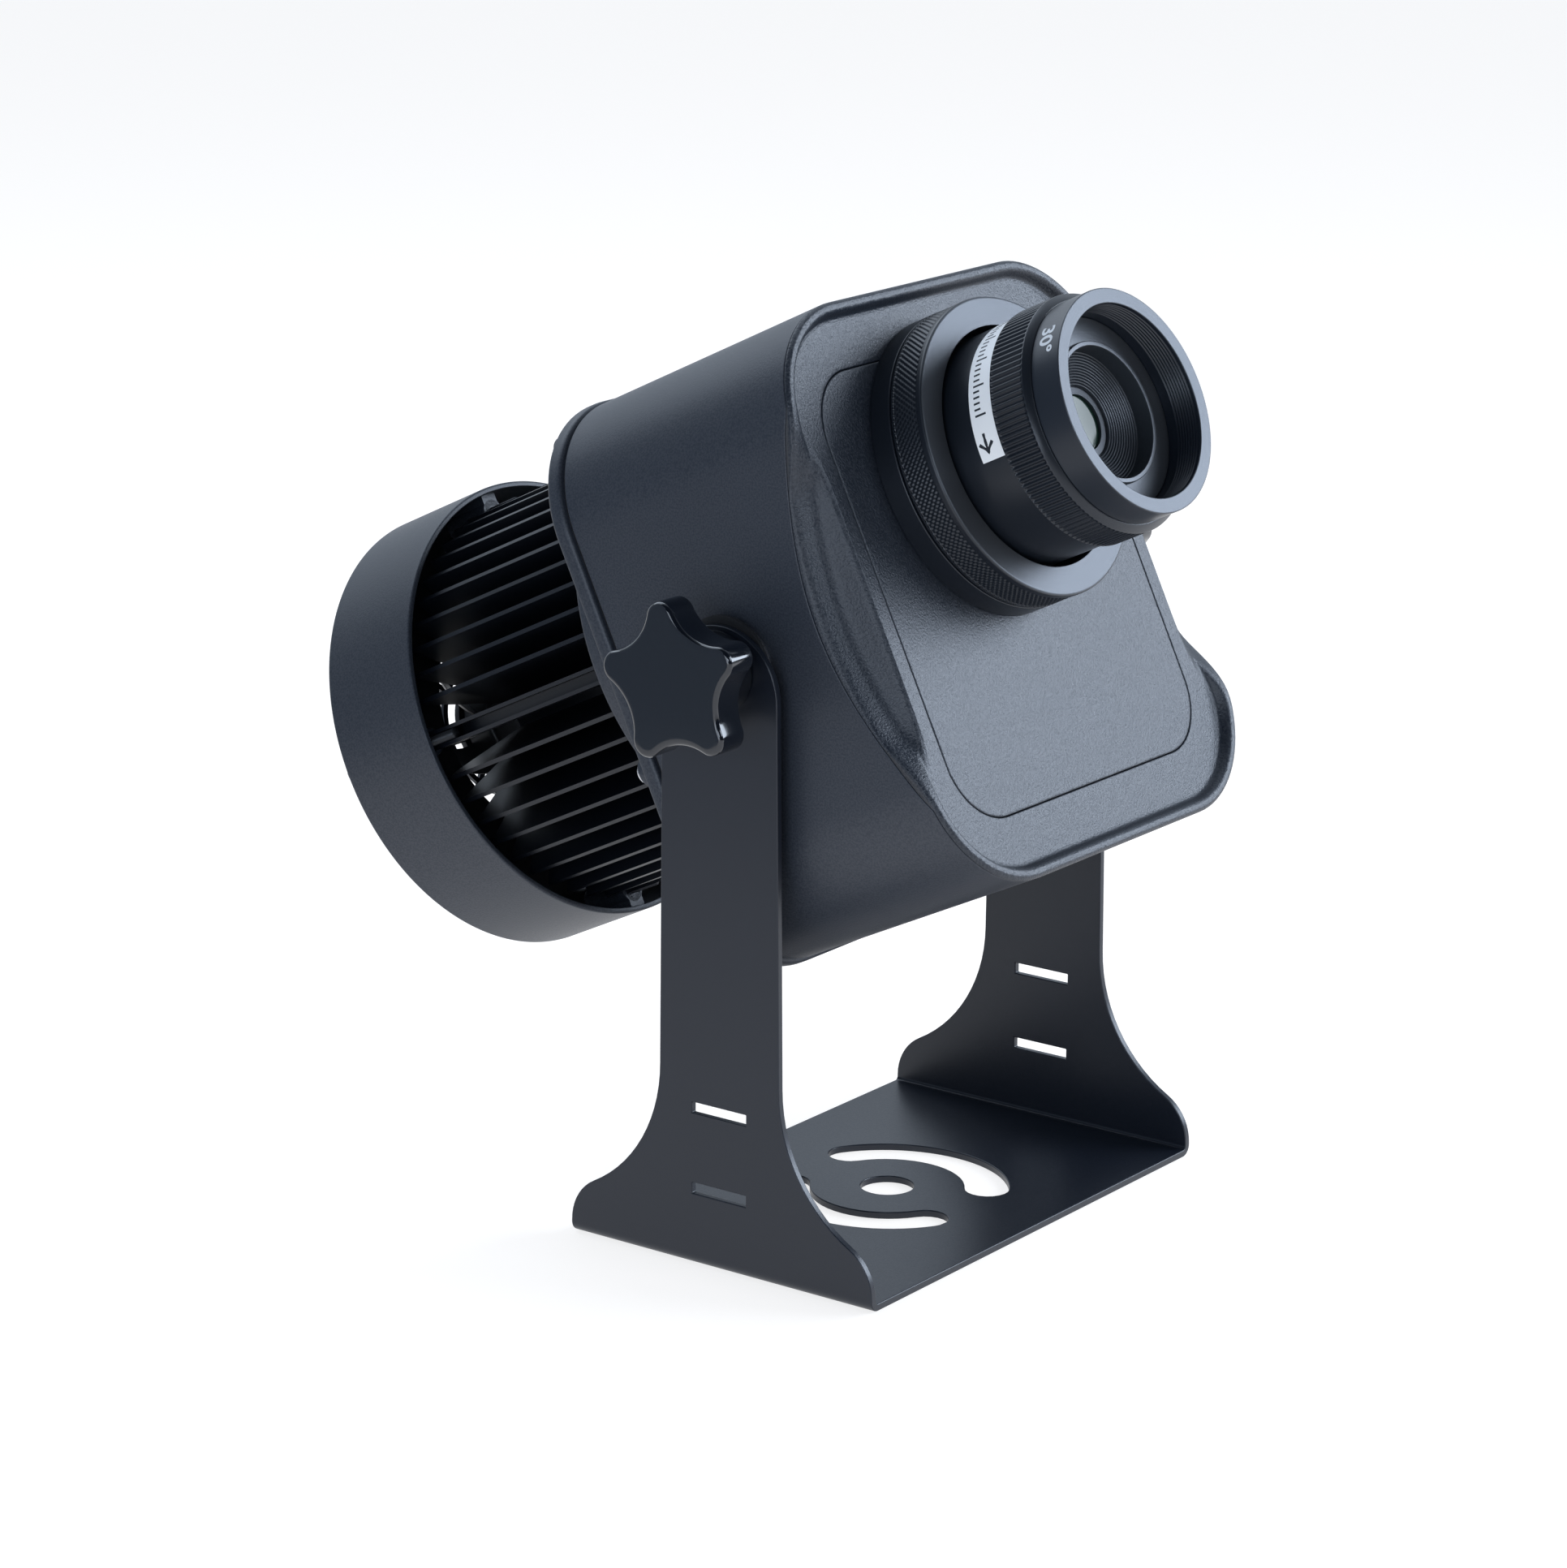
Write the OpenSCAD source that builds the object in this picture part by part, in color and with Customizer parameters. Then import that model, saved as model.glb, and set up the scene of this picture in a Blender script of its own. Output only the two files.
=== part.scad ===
// Gobo projector: a lamp head that tilts in a U-shaped yoke.
// x runs ahead, z up, and the origin lies under the bolt hole of the yoke's base.
// The head is drawn in its own axes and then tilted: s ahead along the light, y across,
// h up, all measured from the tilt axis. A profile of a turned piece lists [radius, s].

/* [Yoke] */
// Thickness of the bent sheet
sheet_t = 2.3; // [1.5:0.1:3]
// Depth of the base, front to back
base_depth = 114.6; // [108:0.2:124]
// Height of the tilt axis over the floor
pivot_z = 188.5; // [184:0.5:210]
// Gap between an arm and the housing
arm_space = 4.7; // [4:0.1:8]
// How far the arms reach above the tilt axis
arm_above_pivot = 13.5; // [11:0.5:18]
// Width of an arm at its top
arm_top_w = 42.6; // [36:0.2:44]
// Width of an arm just above its flared foot
arm_foot_w = 45; // [45:0.2:50]
// Outer radius of the bend between the base and an arm
bend_r = 3.5; // [3.5:0.5:8]
// Height at which the flare of the foot begins
foot_h = 62.5; // [60:0.5:66]
// Radius of the hollow curve of the foot
foot_arc_r = 50; // [48:0.5:52]
// Radius of the round corner of the foot
foot_corner_r = 16.5; // [14:0.5:18]
// Diameter of the hole for the clamp bolt
bolt_hole_d = 17; // [10:0.5:20]
// Radius of the two curved slots, along their middle
arc_slot_r = 31.6; // [28:0.2:36]
// Width of the curved slots
arc_slot_w = 14; // [6:0.5:15]
// Angle from end to end of a curved slot, along its middle
arc_slot_angle = 116; // [80:1:124]
// Length of the strap slots in the arms
strap_slot_l = 20.4; // [14:0.2:26]
// Height of the strap slots in the arms
strap_slot_h = 3.5; // [2.5:0.1:5]
// Height of the lower strap slot over the floor
strap_low_z = 24.95; // [20:0.05:30]
// Height of the upper strap slot over the floor
strap_high_z = 50.7; // [42:0.1:60]

/* [Housing] */
// Tilt of the head at rest, lens up
head_tilt = 25.8; // [0:0.1:45]
// Width of the housing
housing_w = 162; // [158:1:164]
// Height of the housing
housing_h = 180; // [178:1:188]
// Height of the housing's middle over the tilt axis
housing_mid_h = 0.5; // [-1:0.5:2]
// Radius of the housing's corners
corner_r = 37; // [34:1:40]
// Wall of the housing tube
tube_wall = 2.5; // [1.8:0.1:3]
// Front face of the front cover, ahead of the tilt axis
cover_face_s = 48.8; // [46:0.1:54]
// Rear end of the housing tube, behind the tilt axis
tube_rear_s = 40.5; // [38:0.5:42]
// How far the rim of the front cover stands proud of its face
rim_rise = 3.6; // [3:0.1:4.5]
// How far the side scoops of the front cover run back
scoop_depth = 14.4; // [10:0.1:15]
// How far the side scoops cut in from the sides
scoop_in = 11; // [9:0.5:11.5]
// Height over which a side scoop runs out, from its middle
scoop_half_h = 62; // [58:1:66]
// Width of the front panel
panel_w = 129; // [125:1:131]
// Height of the front panel
panel_h = 140; // [137:1:144]
// Radius of the front panel's corners
panel_corner_r = 20; // [16:1:24]
// Thickness of the front panel
panel_t = 4; // [3:0.5:5]
// Width of the open joint round the front panel
panel_joint = 0.4; // [0.3:0.1:0.8]

/* [Rear end] */
// Height of the heat sink's axis over the tilt axis
sink_h = 13.4; // [12.6:0.2:14.2]
// Radius over the fins
fin_tip_r = 66; // [64:0.5:66]
// Thickness of a fin
fin_t = 1.4; // [1:0.1:1.8]
// Number of fins between two screw channels
fins_per_quarter = 10; // [6:1:10]
// Radius of the heat sink's core
core_r = 24; // [20:0.5:30]
// Rear end of the heat sink, behind the tilt axis
sink_rear_s = 139; // [134:0.5:140]
// Outer radius of the round collar of the rear bezel
collar_r = 73; // [72:0.2:74]
// Rear end of that collar, behind the tilt axis
collar_rear_s = 59.5; // [58.5:0.5:62]
// Outer radius of the rear shroud
shroud_r = 72.9; // [72:0.1:75]
// Wall of the rear shroud
shroud_wall = 1.8; // [1.4:0.1:2.4]
// Front edge of the rear shroud, behind the tilt axis
shroud_front_s = 133.5; // [128:0.5:137]
// Rear edge of the rear shroud, behind the tilt axis
shroud_rear_s = 171.1; // [165:0.1:180]
// Side of the square fan
fan_w = 80; // [76:1:80]
// Depth of the fan
fan_t = 15; // [14:0.5:20]
// Number of blades of the fan
fan_blades = 7; // [5:1:9]

/* [Lens] */
// Height of the light's axis over the tilt axis
lens_h = 32.1; // [31:0.1:33.5]
// Radius of the smooth lens barrel
barrel_r = 36; // [35:0.1:36.2]
// Radius over the ribs of the grip
grip_r = 37.2; // [36.6:0.1:37.5]
// Rear edge of the grip, ahead of the tilt axis
grip_s = 87.2; // [85:0.1:89]
// Length of the grip
grip_l = 14; // [12:0.5:15]
// Radius of the front ring
front_ring_r = 34.8; // [34.4:0.1:36]
// Front face of the front ring, ahead of the tilt axis
front_ring_s = 111.5; // [109:0.1:116]
// Radius of the bore that the inner lens tube slides in
tube_bore_r = 30.1; // [29:0.1:30.5]
// Radius of the opening in the front stop of the inner lens tube
stop_r = 8.8; // [7:0.1:10]
// Outer radius of the lens mount and of the lock ring
mount_r = 47; // [45:0.1:48]
// Length of the lens mount ahead of the front cover
mount_l = 7.7; // [6.5:0.1:8.5]
// Length of the lock ring
lock_l = 12.1; // [11.5:0.1:12.5]
// Width of the label strip round the barrel
label_w = 9; // [6:0.1:9]
// Angle that the label strip runs round the barrel
label_angle = 104; // [60:1:160]

/* [Light engine] */
// Thickness of the copper heat spreader
spreader_t = 4; // [3:0.5:5]
// Radius of the condenser lenses
condenser_r = 23.5; // [20:0.1:24]
// Radius of the glass gobo
gobo_r = 18.75; // [17:0.05:19]
// Thickness of the glass gobo
gobo_t = 1.1; // [0.7:0.1:1.6]
// Radius of the picture opening behind the gobo
gate_r = 16; // [13:0.1:16.2]
// Width of the driver
driver_w = 80; // [60:1:84]
// Length of the driver
driver_l = 45; // [36:1:48]
// Height of the driver
driver_h = 32; // [26:1:34]

/* [Knobs] */
// Radius over the knob's lobes
knob_r = 24.9; // [22:0.1:28]
// Radius at the bottom of the hollows between the lobes
knob_valley_r = 17.6; // [16.6:0.1:18]
// Radius of the round end of a lobe
lobe_r = 5; // [4.5:0.1:5.6]
// Thickness of the lobed part of a knob
knob_t = 11.8; // [8:0.1:14]
// Distance from an arm to the knob's face
knob_out = 24.2; // [18:0.1:28]
// Radius of the knob's hub
knob_hub_r = 12.5; // [10:0.5:15]
// Angle of a lobe of the near knob over the horizontal
knob_phase = 28.4; // [0:0.1:72]
// Diameter of the threaded stud
stud_d = 8; // [6:0.5:9]

/* [Fits] */
// Running clearance of turning and sliding pieces, radial
run_gap = 0.1; // [0.05:0.01:0.12]
// Clearance of the stud in an arm, radial
stud_gap = 0.45; // [0.3:0.05:0.8]
// Clearance of a piece that drops into a recess, radial
seat_gap = 0.1; // [0.05:0.05:0.15]
// Clearance beside an arm, for the friction washer and for the knob's hub
arm_gap = 0.1; // [0.05:0.05:0.3]

/* [Hidden] */
$fn = 96;
// How far a cutter runs past the face that it opens
over = 1;

// Yoke
arm_in = housing_w / 2 + arm_space;
arm_out = arm_in + sheet_t;
yoke_w = 2 * arm_out;
// Where the flat base ends and the bend of an arm begins
bend_y = arm_out - bend_r;
arm_top_z = pivot_z + arm_above_pivot;
// Centre of the hollow curve and of the round corner of a foot, which touch each other
hollow_x = arm_foot_w / 2 + foot_arc_r;
corner_x = base_depth / 2 - foot_corner_r;
foot_r_sum = foot_arc_r + foot_corner_r;
corner_z = foot_h - sqrt(pow(foot_r_sum, 2) - pow(hollow_x - corner_x, 2));
touch_a = atan2(foot_h - corner_z, hollow_x - corner_x);
far_out = 60;

// Housing and covers
scoop_s = cover_face_s - scoop_depth;
scoop_mid_h = 1.5;
seam_top_s = cover_face_s + 2.2;
rim_start_h = 36;
rim_run_h = 30;
spigot_in = tube_wall + 0.3;
spigot_s = 28;
pocket_in = 9;
pocket_s = 40;
joint_t = 0.3;
ledge = 5;
groove_s = 30;
groove_l = 2.4;
groove_deep = 1.8;
gasket_t = 1.2;
gasket_in = 1.2;
gasket_w = 6;
port_r = 4.5;
port_hole_r = 2;
port_front_s = 10;
bezel_front_s = -tube_rear_s - gasket_t;
bezel_ridge = 1;
bezel_edge_s = bezel_front_s - 5.4;
loft_s = bezel_edge_s - 5;
screw_seat_s = bezel_edge_s - 3.7;
screw_pad_r = 5;
screw_head_r = 3.5;
screw_head_t = 2.2;
screw_l = 24;
screw_r = 1.9;
side_screw_in = 6.6;
side_screw_h = -20;
corner_screw_in = 21;
corner_screw_down = 10.5;
gland_pad_r = 10.5;
gland_space = 1.9;
gland_h = sink_h - collar_r - gland_space - gland_pad_r;
gland_seat_s = bezel_edge_s - 5.4;
gland_r = 6;
gland_wire_r = 3.5;
gland_flange_t = 4;
gland_hex_r = 9.6;
gland_neck_r = gland_r + 0.8;
gland_neck_l = 6;
gland_nut_r = 9;
gland_tip_r = 6.5;

// Rear end
base_disc_r = collar_r - 3.7;
base_disc_front_s = -48;
lip_t = 2.3;
base_disc_rear_s = -collar_rear_s + lip_t;
fin_step = 7.5;
prong_t = 1.2;
prong_gap = 3.6;
prong_l = 6.5;
shroud_screw_r = 65;
shroud_in_r = shroud_r - shroud_wall;
boss_r = 4.6;
boss_hole_r = 1.9;
shroud_screw_shank_r = 1.7;
shroud_screw_head_r = 4.2;
shroud_screw_head_t = 3;
lip_bevel = 1.2;
grille_t = 1.2;
grille_wire = 2;
grille_step = 11.5;
grille_r = shroud_in_r - 0.4;
sink_end_s = -sink_rear_s;
fan_front_s = fan_t - shroud_rear_s;
fan_bore_r = fan_w / 2 - 1.2;
fan_plate_t = 1.5;
fan_corner_r = 5;
fan_hub_r = 17;
fan_strut_t = 2;
fan_strut_w = 3;
fan_pin_r = 1.5;
fan_tip_gap = 1;
fan_end_gap = 1;
blade_t = 1.2;
blade_pitch = 42;

// Lens
mount_front_s = cover_face_s + mount_l;
ring_joint = 0.6;
lock_s = mount_front_s + ring_joint;
lock_front_s = lock_s + lock_l;
barrel_space = 1.8;
neck_in_r = barrel_r + barrel_space + 0.4;
neck_r = neck_in_r + 2.5;
neck_front_s = lock_front_s - 3.2;
lock_hole_r = barrel_r + barrel_space;
lock_bevel = 0.6;
mount_floor_t = 2.2;
guide_r = tube_bore_r + 3.7;
guide_rear_s = 4;
nut_r = 40;
nut_t = 3.8;
barrel_rear_s = 57.5;
grip_front_s = grip_s + grip_l;
ring_groove = 1.2;
ring_groove_r = front_ring_r - 0.6;
ring_spigot_r = 33.5;
ring_spigot_l = 5;
ring_bevel = 0.4;
slide_r = tube_bore_r - run_gap;
slide_rear_s = 12;
slide_front_s = front_ring_s - 12.2;
step_in_r = 20.5;
step_out_r = 22;
step_l = 1.7;
cone_rim_s = front_ring_s - 16.5;
cone_end_s = front_ring_s - 20;
cone_end_r = 11;
stop_front_s = front_ring_s - 20.7;
stop_t = 1;
front_lens_r = 13;
front_lens_t = 5.4;
front_lens_edge_t = 2;
rear_lens_r = 27.6;
rear_lens_edge_t = 3;
rear_lens_s = 20;
retainer_t = 3;
inside_r = 25.5;
taper_s = front_ring_s - 36;
label_t = 0.15;
label_start = -4;

// Light engine
spreader_r = 29;
board_r = 20;
board_t = 1.6;
dome_r = 5;
barrel_foot_r = 40;
barrel_foot_t = 3;
skirt_r = 33;
skirt_in_r = 30;
skirt_front_s = -36;
condenser_wall = 2.4;
condenser_stop_s = -32;
condenser_stop_r = condenser_r - 3;
condenser_front_s = -8;
condenser_edge_t = 2.5;
holder_t = 5;
holder_r = condenser_r + condenser_wall + 4;
holder_spigot_l = 4;
clip_t = 1;
clip_w = 2;
bracket_t = 1.5;
bracket_lip_h = 12;
driver_mid_s = -4;

// Knobs
knob_lobes = 5;
lobe_half_a = 180 / knob_lobes;
lobe_mid_r = knob_r - lobe_r;
lobe_dot = lobe_mid_r * cos(lobe_half_a);
valley_arc_r = (pow(lobe_mid_r, 2) + pow(knob_valley_r, 2) - 2 * knob_valley_r * lobe_dot
    - pow(lobe_r, 2)) / (2 * (lobe_r - knob_valley_r + lobe_dot));
valley_mid_r = knob_valley_r + valley_arc_r;
lobe_end_a = atan2(valley_mid_r * sin(lobe_half_a), valley_mid_r * cos(lobe_half_a) - lobe_mid_r);
knob_face_y = arm_out + knob_out;
stud_r = stud_d / 2;
stud_head_y = knob_face_y - 4;
stud_end_y = housing_w / 2 - 13;
washer_t = 1.4;
washer_r = 16;
boss_flange_r = 14;
boss_flange_t = arm_space - washer_t - arm_gap;
boss_neck_r = 8;
boss_neck_y = housing_w / 2 - 11;

// Turns the head's own axes into the axes of the part
module in_head() {
    translate([0, 0, pivot_z]) rotate([0, -head_tilt, 0]) children();
}

// Draws a cross-section, across and up, out from s0 to s1
module section(s0, s1) {
    translate([s0, 0, 0]) rotate([90, 0, 90]) linear_extrude(s1 - s0) children();
}

// Draws a side view out across, from y0 to y1
module across(y0, y1) {
    translate([0, y1, 0]) rotate([90, 0, 0]) linear_extrude(y1 - y0) children();
}

// Turns a profile round an axis along s, at the height h0
module turned(h0) {
    translate([0, 0, h0]) rotate([0, 90, 0]) rotate_extrude() children();
}

// A ring about an axis along s, at the height h0
module ring(h0, r_out, r_in, s0, s1) {
    turned(h0) translate([r_in, s0]) square([r_out - r_in, s1 - s0]);
}

module both_sides() {
    children();
    mirror([0, 1, 0]) children();
}

module rounded(w, h, r) {
    square([w - 2 * r, h], center = true);
    square([w, h - 2 * r], center = true);
    for (i = [-1, 1], j = [-1, 1])
        translate([i * (w / 2 - r), j * (h / 2 - r)]) circle(r);
}

module body_outline(inset) {
    translate([0, housing_mid_h])
        rounded(housing_w - 2 * inset, housing_h - 2 * inset, corner_r - inset);
}

module panel_outline(inset) {
    translate([0, housing_mid_h])
        rounded(panel_w - 2 * inset, panel_h - 2 * inset, panel_corner_r - inset);
}

// Where the bezel's screws sit: beside the collar, and in the four corners
screw_spots = [
    [housing_w / 2 - side_screw_in, side_screw_h],
    for (side = [1, -1])
        [housing_w / 2 - corner_screw_in, housing_mid_h + side * (housing_h / 2 - corner_screw_down)]];

module at_bezel_screws() {
    for (p = screw_spots, side = [-1, 1]) translate([0, side * p[0], p[1]]) children();
}

// Front joint of the housing: how far ahead the seam lies at the height h
function seam(h) = scoop_s + (seam_top_s - scoop_s)
    * (1 - cos(90 * min(abs(h - scoop_mid_h), scoop_half_h) / scoop_half_h));

function clamp01(t) = max(0, min(1, t));
function smooth(t) = t * t * (3 - 2 * t);

// 0 where a side is scooped out, 1 where the cover has its full rim
function rim_share(h) = smooth(clamp01((abs(h - scoop_mid_h) - rim_start_h) / rim_run_h));

// Points round the housing, each as [across, up, outward across, outward up]
function outline_nodes(side_n, corner_n, top_n) = let (
    w = housing_w / 2,
    t = housing_h / 2,
    cy = w - corner_r,
    ch = t - corner_r,
    m = housing_mid_h)
    [
        for (i = [0:side_n]) [w, m - ch + 2 * ch * i / side_n, 1, 0],
        for (i = [1:corner_n - 1]) corner_node(cy, m + ch, 90 * i / corner_n),
        for (i = [0:top_n]) [cy - 2 * cy * i / top_n, m + t, 0, 1],
        for (i = [1:corner_n - 1]) corner_node(-cy, m + ch, 90 + 90 * i / corner_n),
        for (i = [0:side_n]) [-w, m + ch - 2 * ch * i / side_n, -1, 0],
        for (i = [1:corner_n - 1]) corner_node(-cy, m - ch, 180 + 90 * i / corner_n),
        for (i = [0:top_n]) [-cy + 2 * cy * i / top_n, m - t, 0, -1],
        for (i = [1:corner_n - 1]) corner_node(cy, m - ch, 270 + 90 * i / corner_n)];

function corner_node(y, h, a) = [y + corner_r * cos(a), h + corner_r * sin(a), cos(a), sin(a)];

// A point at a node, set in from the outline, at s
function node_point(n, inset, s) = [s, n[0] - inset * n[2], n[1] - inset * n[3]];

function middle(ring) = [for (axis = [0:2]) [for (p = ring) p[axis]] * [for (p = ring) 1] / len(ring)];

// Closes a row of rings, from the front one to the rear one, into a solid
module ring_solid(rings) {
    count = len(rings[0]);
    last = len(rings) - 1;
    front_mid = (last + 1) * count;
    faces = [
        for (i = [0:last], k = [0:count - 1])
            let (a = i * count, b = a + count, next = (k + 1) % count)
            each i < last
                ? [[a + k, a + next, b + next], [a + k, b + next, b + k]]
                : [[front_mid, next, k], [front_mid + 1, a + k, a + next]]];
    polyhedron([for (r = rings) each r, middle(rings[0]), middle(rings[last])], faces);
}

// The yoke is one bent sheet, drawn as its flat base and two arms that meet it at the bends
module yoke_base() {
    color("#202228") difference() {
        across(-bend_y, bend_y) translate([-base_depth / 2, 0]) square([base_depth, sheet_t]);
        translate([0, 0, -over]) linear_extrude(sheet_t + 2 * over) base_openings();
    }
}

module yoke_arm_right() {
    color("#202228") yoke_arm();
}

module yoke_arm_left() {
    color("#202228") mirror([0, 1, 0]) yoke_arm();
}

module yoke_arm() {
    difference() {
        intersection() {
            section(-base_depth / 2, base_depth / 2) bent_sheet();
            across(-arm_out - over, -bend_y) yoke_side();
        }
        across(-arm_out - over, -bend_y + over) arm_openings();
    }
}

module bent_sheet() {
    difference() {
        u_shape(yoke_w, bend_r);
        translate([0, sheet_t]) u_shape(yoke_w - 2 * sheet_t, bend_r - sheet_t);
    }
}

module u_shape(w, r) {
    translate([-w / 2, r]) square([w, arm_top_z]);
    translate([-w / 2 + r, 0]) square([w - 2 * r, 2 * r]);
    for (side = [-1, 1]) translate([side * (w / 2 - r), r]) circle(r);
}

// Points along an arc
function arc(mid, r, a0, a1, n) = [
    for (i = [0:n]) let (a = a0 + (a1 - a0) * i / n) mid + r * [cos(a), sin(a)]];

// A foot's front edge: a round corner that runs into a hollow curve
foot_edge = concat(
    [[base_depth / 2, 0]],
    arc([corner_x, corner_z], foot_corner_r, 0, touch_a, 9),
    [for (i = [1:14]) arc([hollow_x, foot_h], foot_arc_r, 180 + touch_a, 180, 14)[i]]);

// Side view of the yoke: a tapered arm with a round top, flared at its foot
module yoke_side() {
    polygon(concat(
        foot_edge,
        arc([0, arm_top_z - arm_top_w / 2], arm_top_w / 2, 0, 180, 28),
        [for (i = [len(foot_edge) - 1:-1:0]) [-foot_edge[i][0], foot_edge[i][1]]]));
}

module arm_openings() {
    translate([0, pivot_z]) circle(stud_r + stud_gap);
    for (z = [strap_low_z, strap_high_z])
        translate([-strap_slot_l / 2, z - strap_slot_h / 2]) square([strap_slot_l, strap_slot_h]);
}

module base_openings() {
    circle(bolt_hole_d / 2);
    for (turn = [0, 180]) rotate(turn) arc_slot();
}

// Curved slot round the bolt hole, with round ends
module arc_slot() {
    right_a = 90 - arc_slot_angle / 2;
    left_a = 90 + arc_slot_angle / 2;
    polygon(concat(
        arc([0, 0], arc_slot_r + arc_slot_w / 2, left_a, right_a, 24),
        slot_end(right_a, right_a),
        arc([0, 0], arc_slot_r - arc_slot_w / 2, right_a, left_a, 16),
        slot_end(left_a, left_a + 180)));
}

// Round end of the curved slot: half a circle from the angle a0, without its own ends
function slot_end(mid_a, a0) = [
    for (i = [1:9]) arc_slot_r * [cos(mid_a), sin(mid_a)]
        + arc_slot_w / 2 * [cos(a0 - 18 * i), sin(a0 - 18 * i)]];

module knob_right() {
    color("#14171c") knob();
}

module knob_left() {
    color("#14171c") mirror([0, 1, 0]) knob();
}

module knob() {
    translate([0, 0, pivot_z]) difference() {
        union() {
            across(-knob_face_y, knob_t - knob_face_y) rotate(knob_phase) knob_star();
            across(knob_t - knob_face_y - over, -arm_out - arm_gap) circle(knob_hub_r);
        }
        across(-stud_head_y, -arm_out + over) circle(stud_r);
    }
}

// Star outline: round lobes with hollow curves between them
module knob_star() {
    polygon([
        for (i = [0:knob_lobes - 1]) let (
            lobe_a = 2 * i * lobe_half_a,
            gap_a = lobe_a + lobe_half_a,
            valley = arc(valley_mid_r * [cos(gap_a), sin(gap_a)], valley_arc_r,
                lobe_a + 180 + lobe_end_a, gap_a + lobe_half_a + 180 - lobe_end_a, 7))
            each concat(
                arc(lobe_mid_r * [cos(lobe_a), sin(lobe_a)], lobe_r,
                    lobe_a - lobe_end_a, lobe_a + lobe_end_a, 10),
                [for (k = [1:6]) valley[k]])]);
}

module stud_right() {
    color("#9da2a8") stud();
}

module stud_left() {
    color("#9da2a8") mirror([0, 1, 0]) stud();
}

module stud() {
    translate([0, 0, pivot_z]) across(-stud_head_y, -stud_end_y) circle(stud_r);
}

module pivot_bosses() {
    color("#8d9197") in_head() both_sides() difference() {
        union() {
            across(-housing_w / 2 - boss_flange_t, -housing_w / 2) circle(boss_flange_r);
            across(-housing_w / 2 - over / 2, -boss_neck_y) circle(boss_neck_r);
        }
        across(-housing_w, -boss_neck_y + over) circle(stud_r + run_gap);
    }
}

module friction_washers() {
    color("#2a2a2c") in_head() both_sides() difference() {
        across(-arm_in + arm_gap, -arm_in + arm_gap + washer_t) circle(washer_r);
        across(-arm_in, -housing_w / 2) circle(stud_r + seat_gap);
    }
}

module housing_tube() {
    color("#3c414b") in_head() {
        difference() {
            section(-tube_rear_s, seam_top_s) body_outline(0);
            section(-tube_rear_s - over, seam_top_s + over) body_outline(tube_wall);
            across(-housing_w, housing_w) ahead_of_seam();
            across(-housing_w, housing_w) circle(boss_neck_r + seat_gap);
        }
        difference() {
            section(-tube_rear_s, port_front_s) intersection() {
                body_outline(tube_wall / 2);
                screw_ports(port_r);
            }
            section(-tube_rear_s - over, port_front_s + over) screw_ports(port_hole_r);
        }
    }
}

module screw_ports(r) {
    for (p = screw_spots, side = [-1, 1]) translate([side * p[0], p[1]]) circle(r);
}

// Side view of everything ahead of the housing's front joint
module ahead_of_seam() {
    step_h = scoop_half_h / 16;
    polygon([
        [seam_top_s + 2 * over, -housing_h],
        for (i = [-16:16]) let (h = scoop_mid_h + i * step_h) [seam(h) - joint_t, h],
        [seam_top_s + 2 * over, housing_h]]);
}

// Cord gasket in the groove of the front cover's spigot
module front_gasket() {
    color("#101012") in_head() section(groove_s + seat_gap, groove_s + groove_l - seat_gap) difference() {
        body_outline(tube_wall + seat_gap);
        body_outline(spigot_in + groove_deep - seat_gap);
    }
}

// The cover's front where it has a rim: [set in, rise over the face]
rim_profile = [
    [0, rim_rise - 1.2], [1, rim_rise - 0.15], [1.6, rim_rise], [2.9, rim_rise],
    [3.7, rim_rise - 0.9], [4.6, 0.5], [6.4, 0]];
// The cover's front where it is scooped out: [share of the cut in, share of the depth]
scoop_profile = [
    [0.26, 0.2], [0.5, 0.42], [0.66, 0.64], [0.76, 0.84],
    [0.84, 0.95], [0.93, 0.99], [1, 1]];

// The ring of points at step i of the two profiles, blended by the share of rim
function cover_ring(nodes, i) = [
    for (n = nodes) let (
        w = rim_share(n[1]),
        scooped = (1 - w) * (1 - scoop_profile[i][1]) * (cover_face_s - seam(n[1])))
        node_point(n,
            w * rim_profile[i][0] + (1 - w) * scoop_profile[i][0] * scoop_in,
            cover_face_s + w * rim_profile[i][1] - scooped)];

module front_cover() {
    nodes = outline_nodes(16, 8, 2);
    steps = len(rim_profile);
    color("#4a505c") in_head() difference() {
        ring_solid([
            for (i = [steps - 1:-1:0]) cover_ring(nodes, i),
            [for (n = nodes) node_point(n, 0, seam(n[1]))],
            [for (n = nodes) node_point(n, spigot_in, seam(n[1]))],
            [for (n = nodes) node_point(n, spigot_in, groove_s + groove_l)],
            [for (n = nodes) node_point(n, spigot_in + groove_deep, groove_s + groove_l)],
            [for (n = nodes) node_point(n, spigot_in + groove_deep, groove_s)],
            [for (n = nodes) node_point(n, spigot_in, groove_s)],
            [for (n = nodes) node_point(n, spigot_in, spigot_s)],
            [for (n = nodes) node_point(n, pocket_in, spigot_s)],
            [for (n = nodes) node_point(n, pocket_in, pocket_s)]]);
        section(cover_face_s - panel_t, cover_face_s + over) panel_outline(0);
        section(pocket_s - over, cover_face_s) panel_outline(ledge);
        ring(lens_h, nut_r + over, 0, pocket_s - over, cover_face_s - panel_t + joint_t);
    }
}

module front_panel() {
    color("#4a505c") in_head() difference() {
        section(cover_face_s - panel_t, cover_face_s) panel_outline(panel_joint);
        ring(lens_h, guide_r + seat_gap, 0, cover_face_s - panel_t - over, cover_face_s + over);
    }
}

module rear_gasket() {
    color("#101012") in_head() section(bezel_front_s, -tube_rear_s) difference() {
        body_outline(gasket_in);
        body_outline(gasket_w);
        screw_ports(port_hole_r + joint_t);
    }
}

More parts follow.
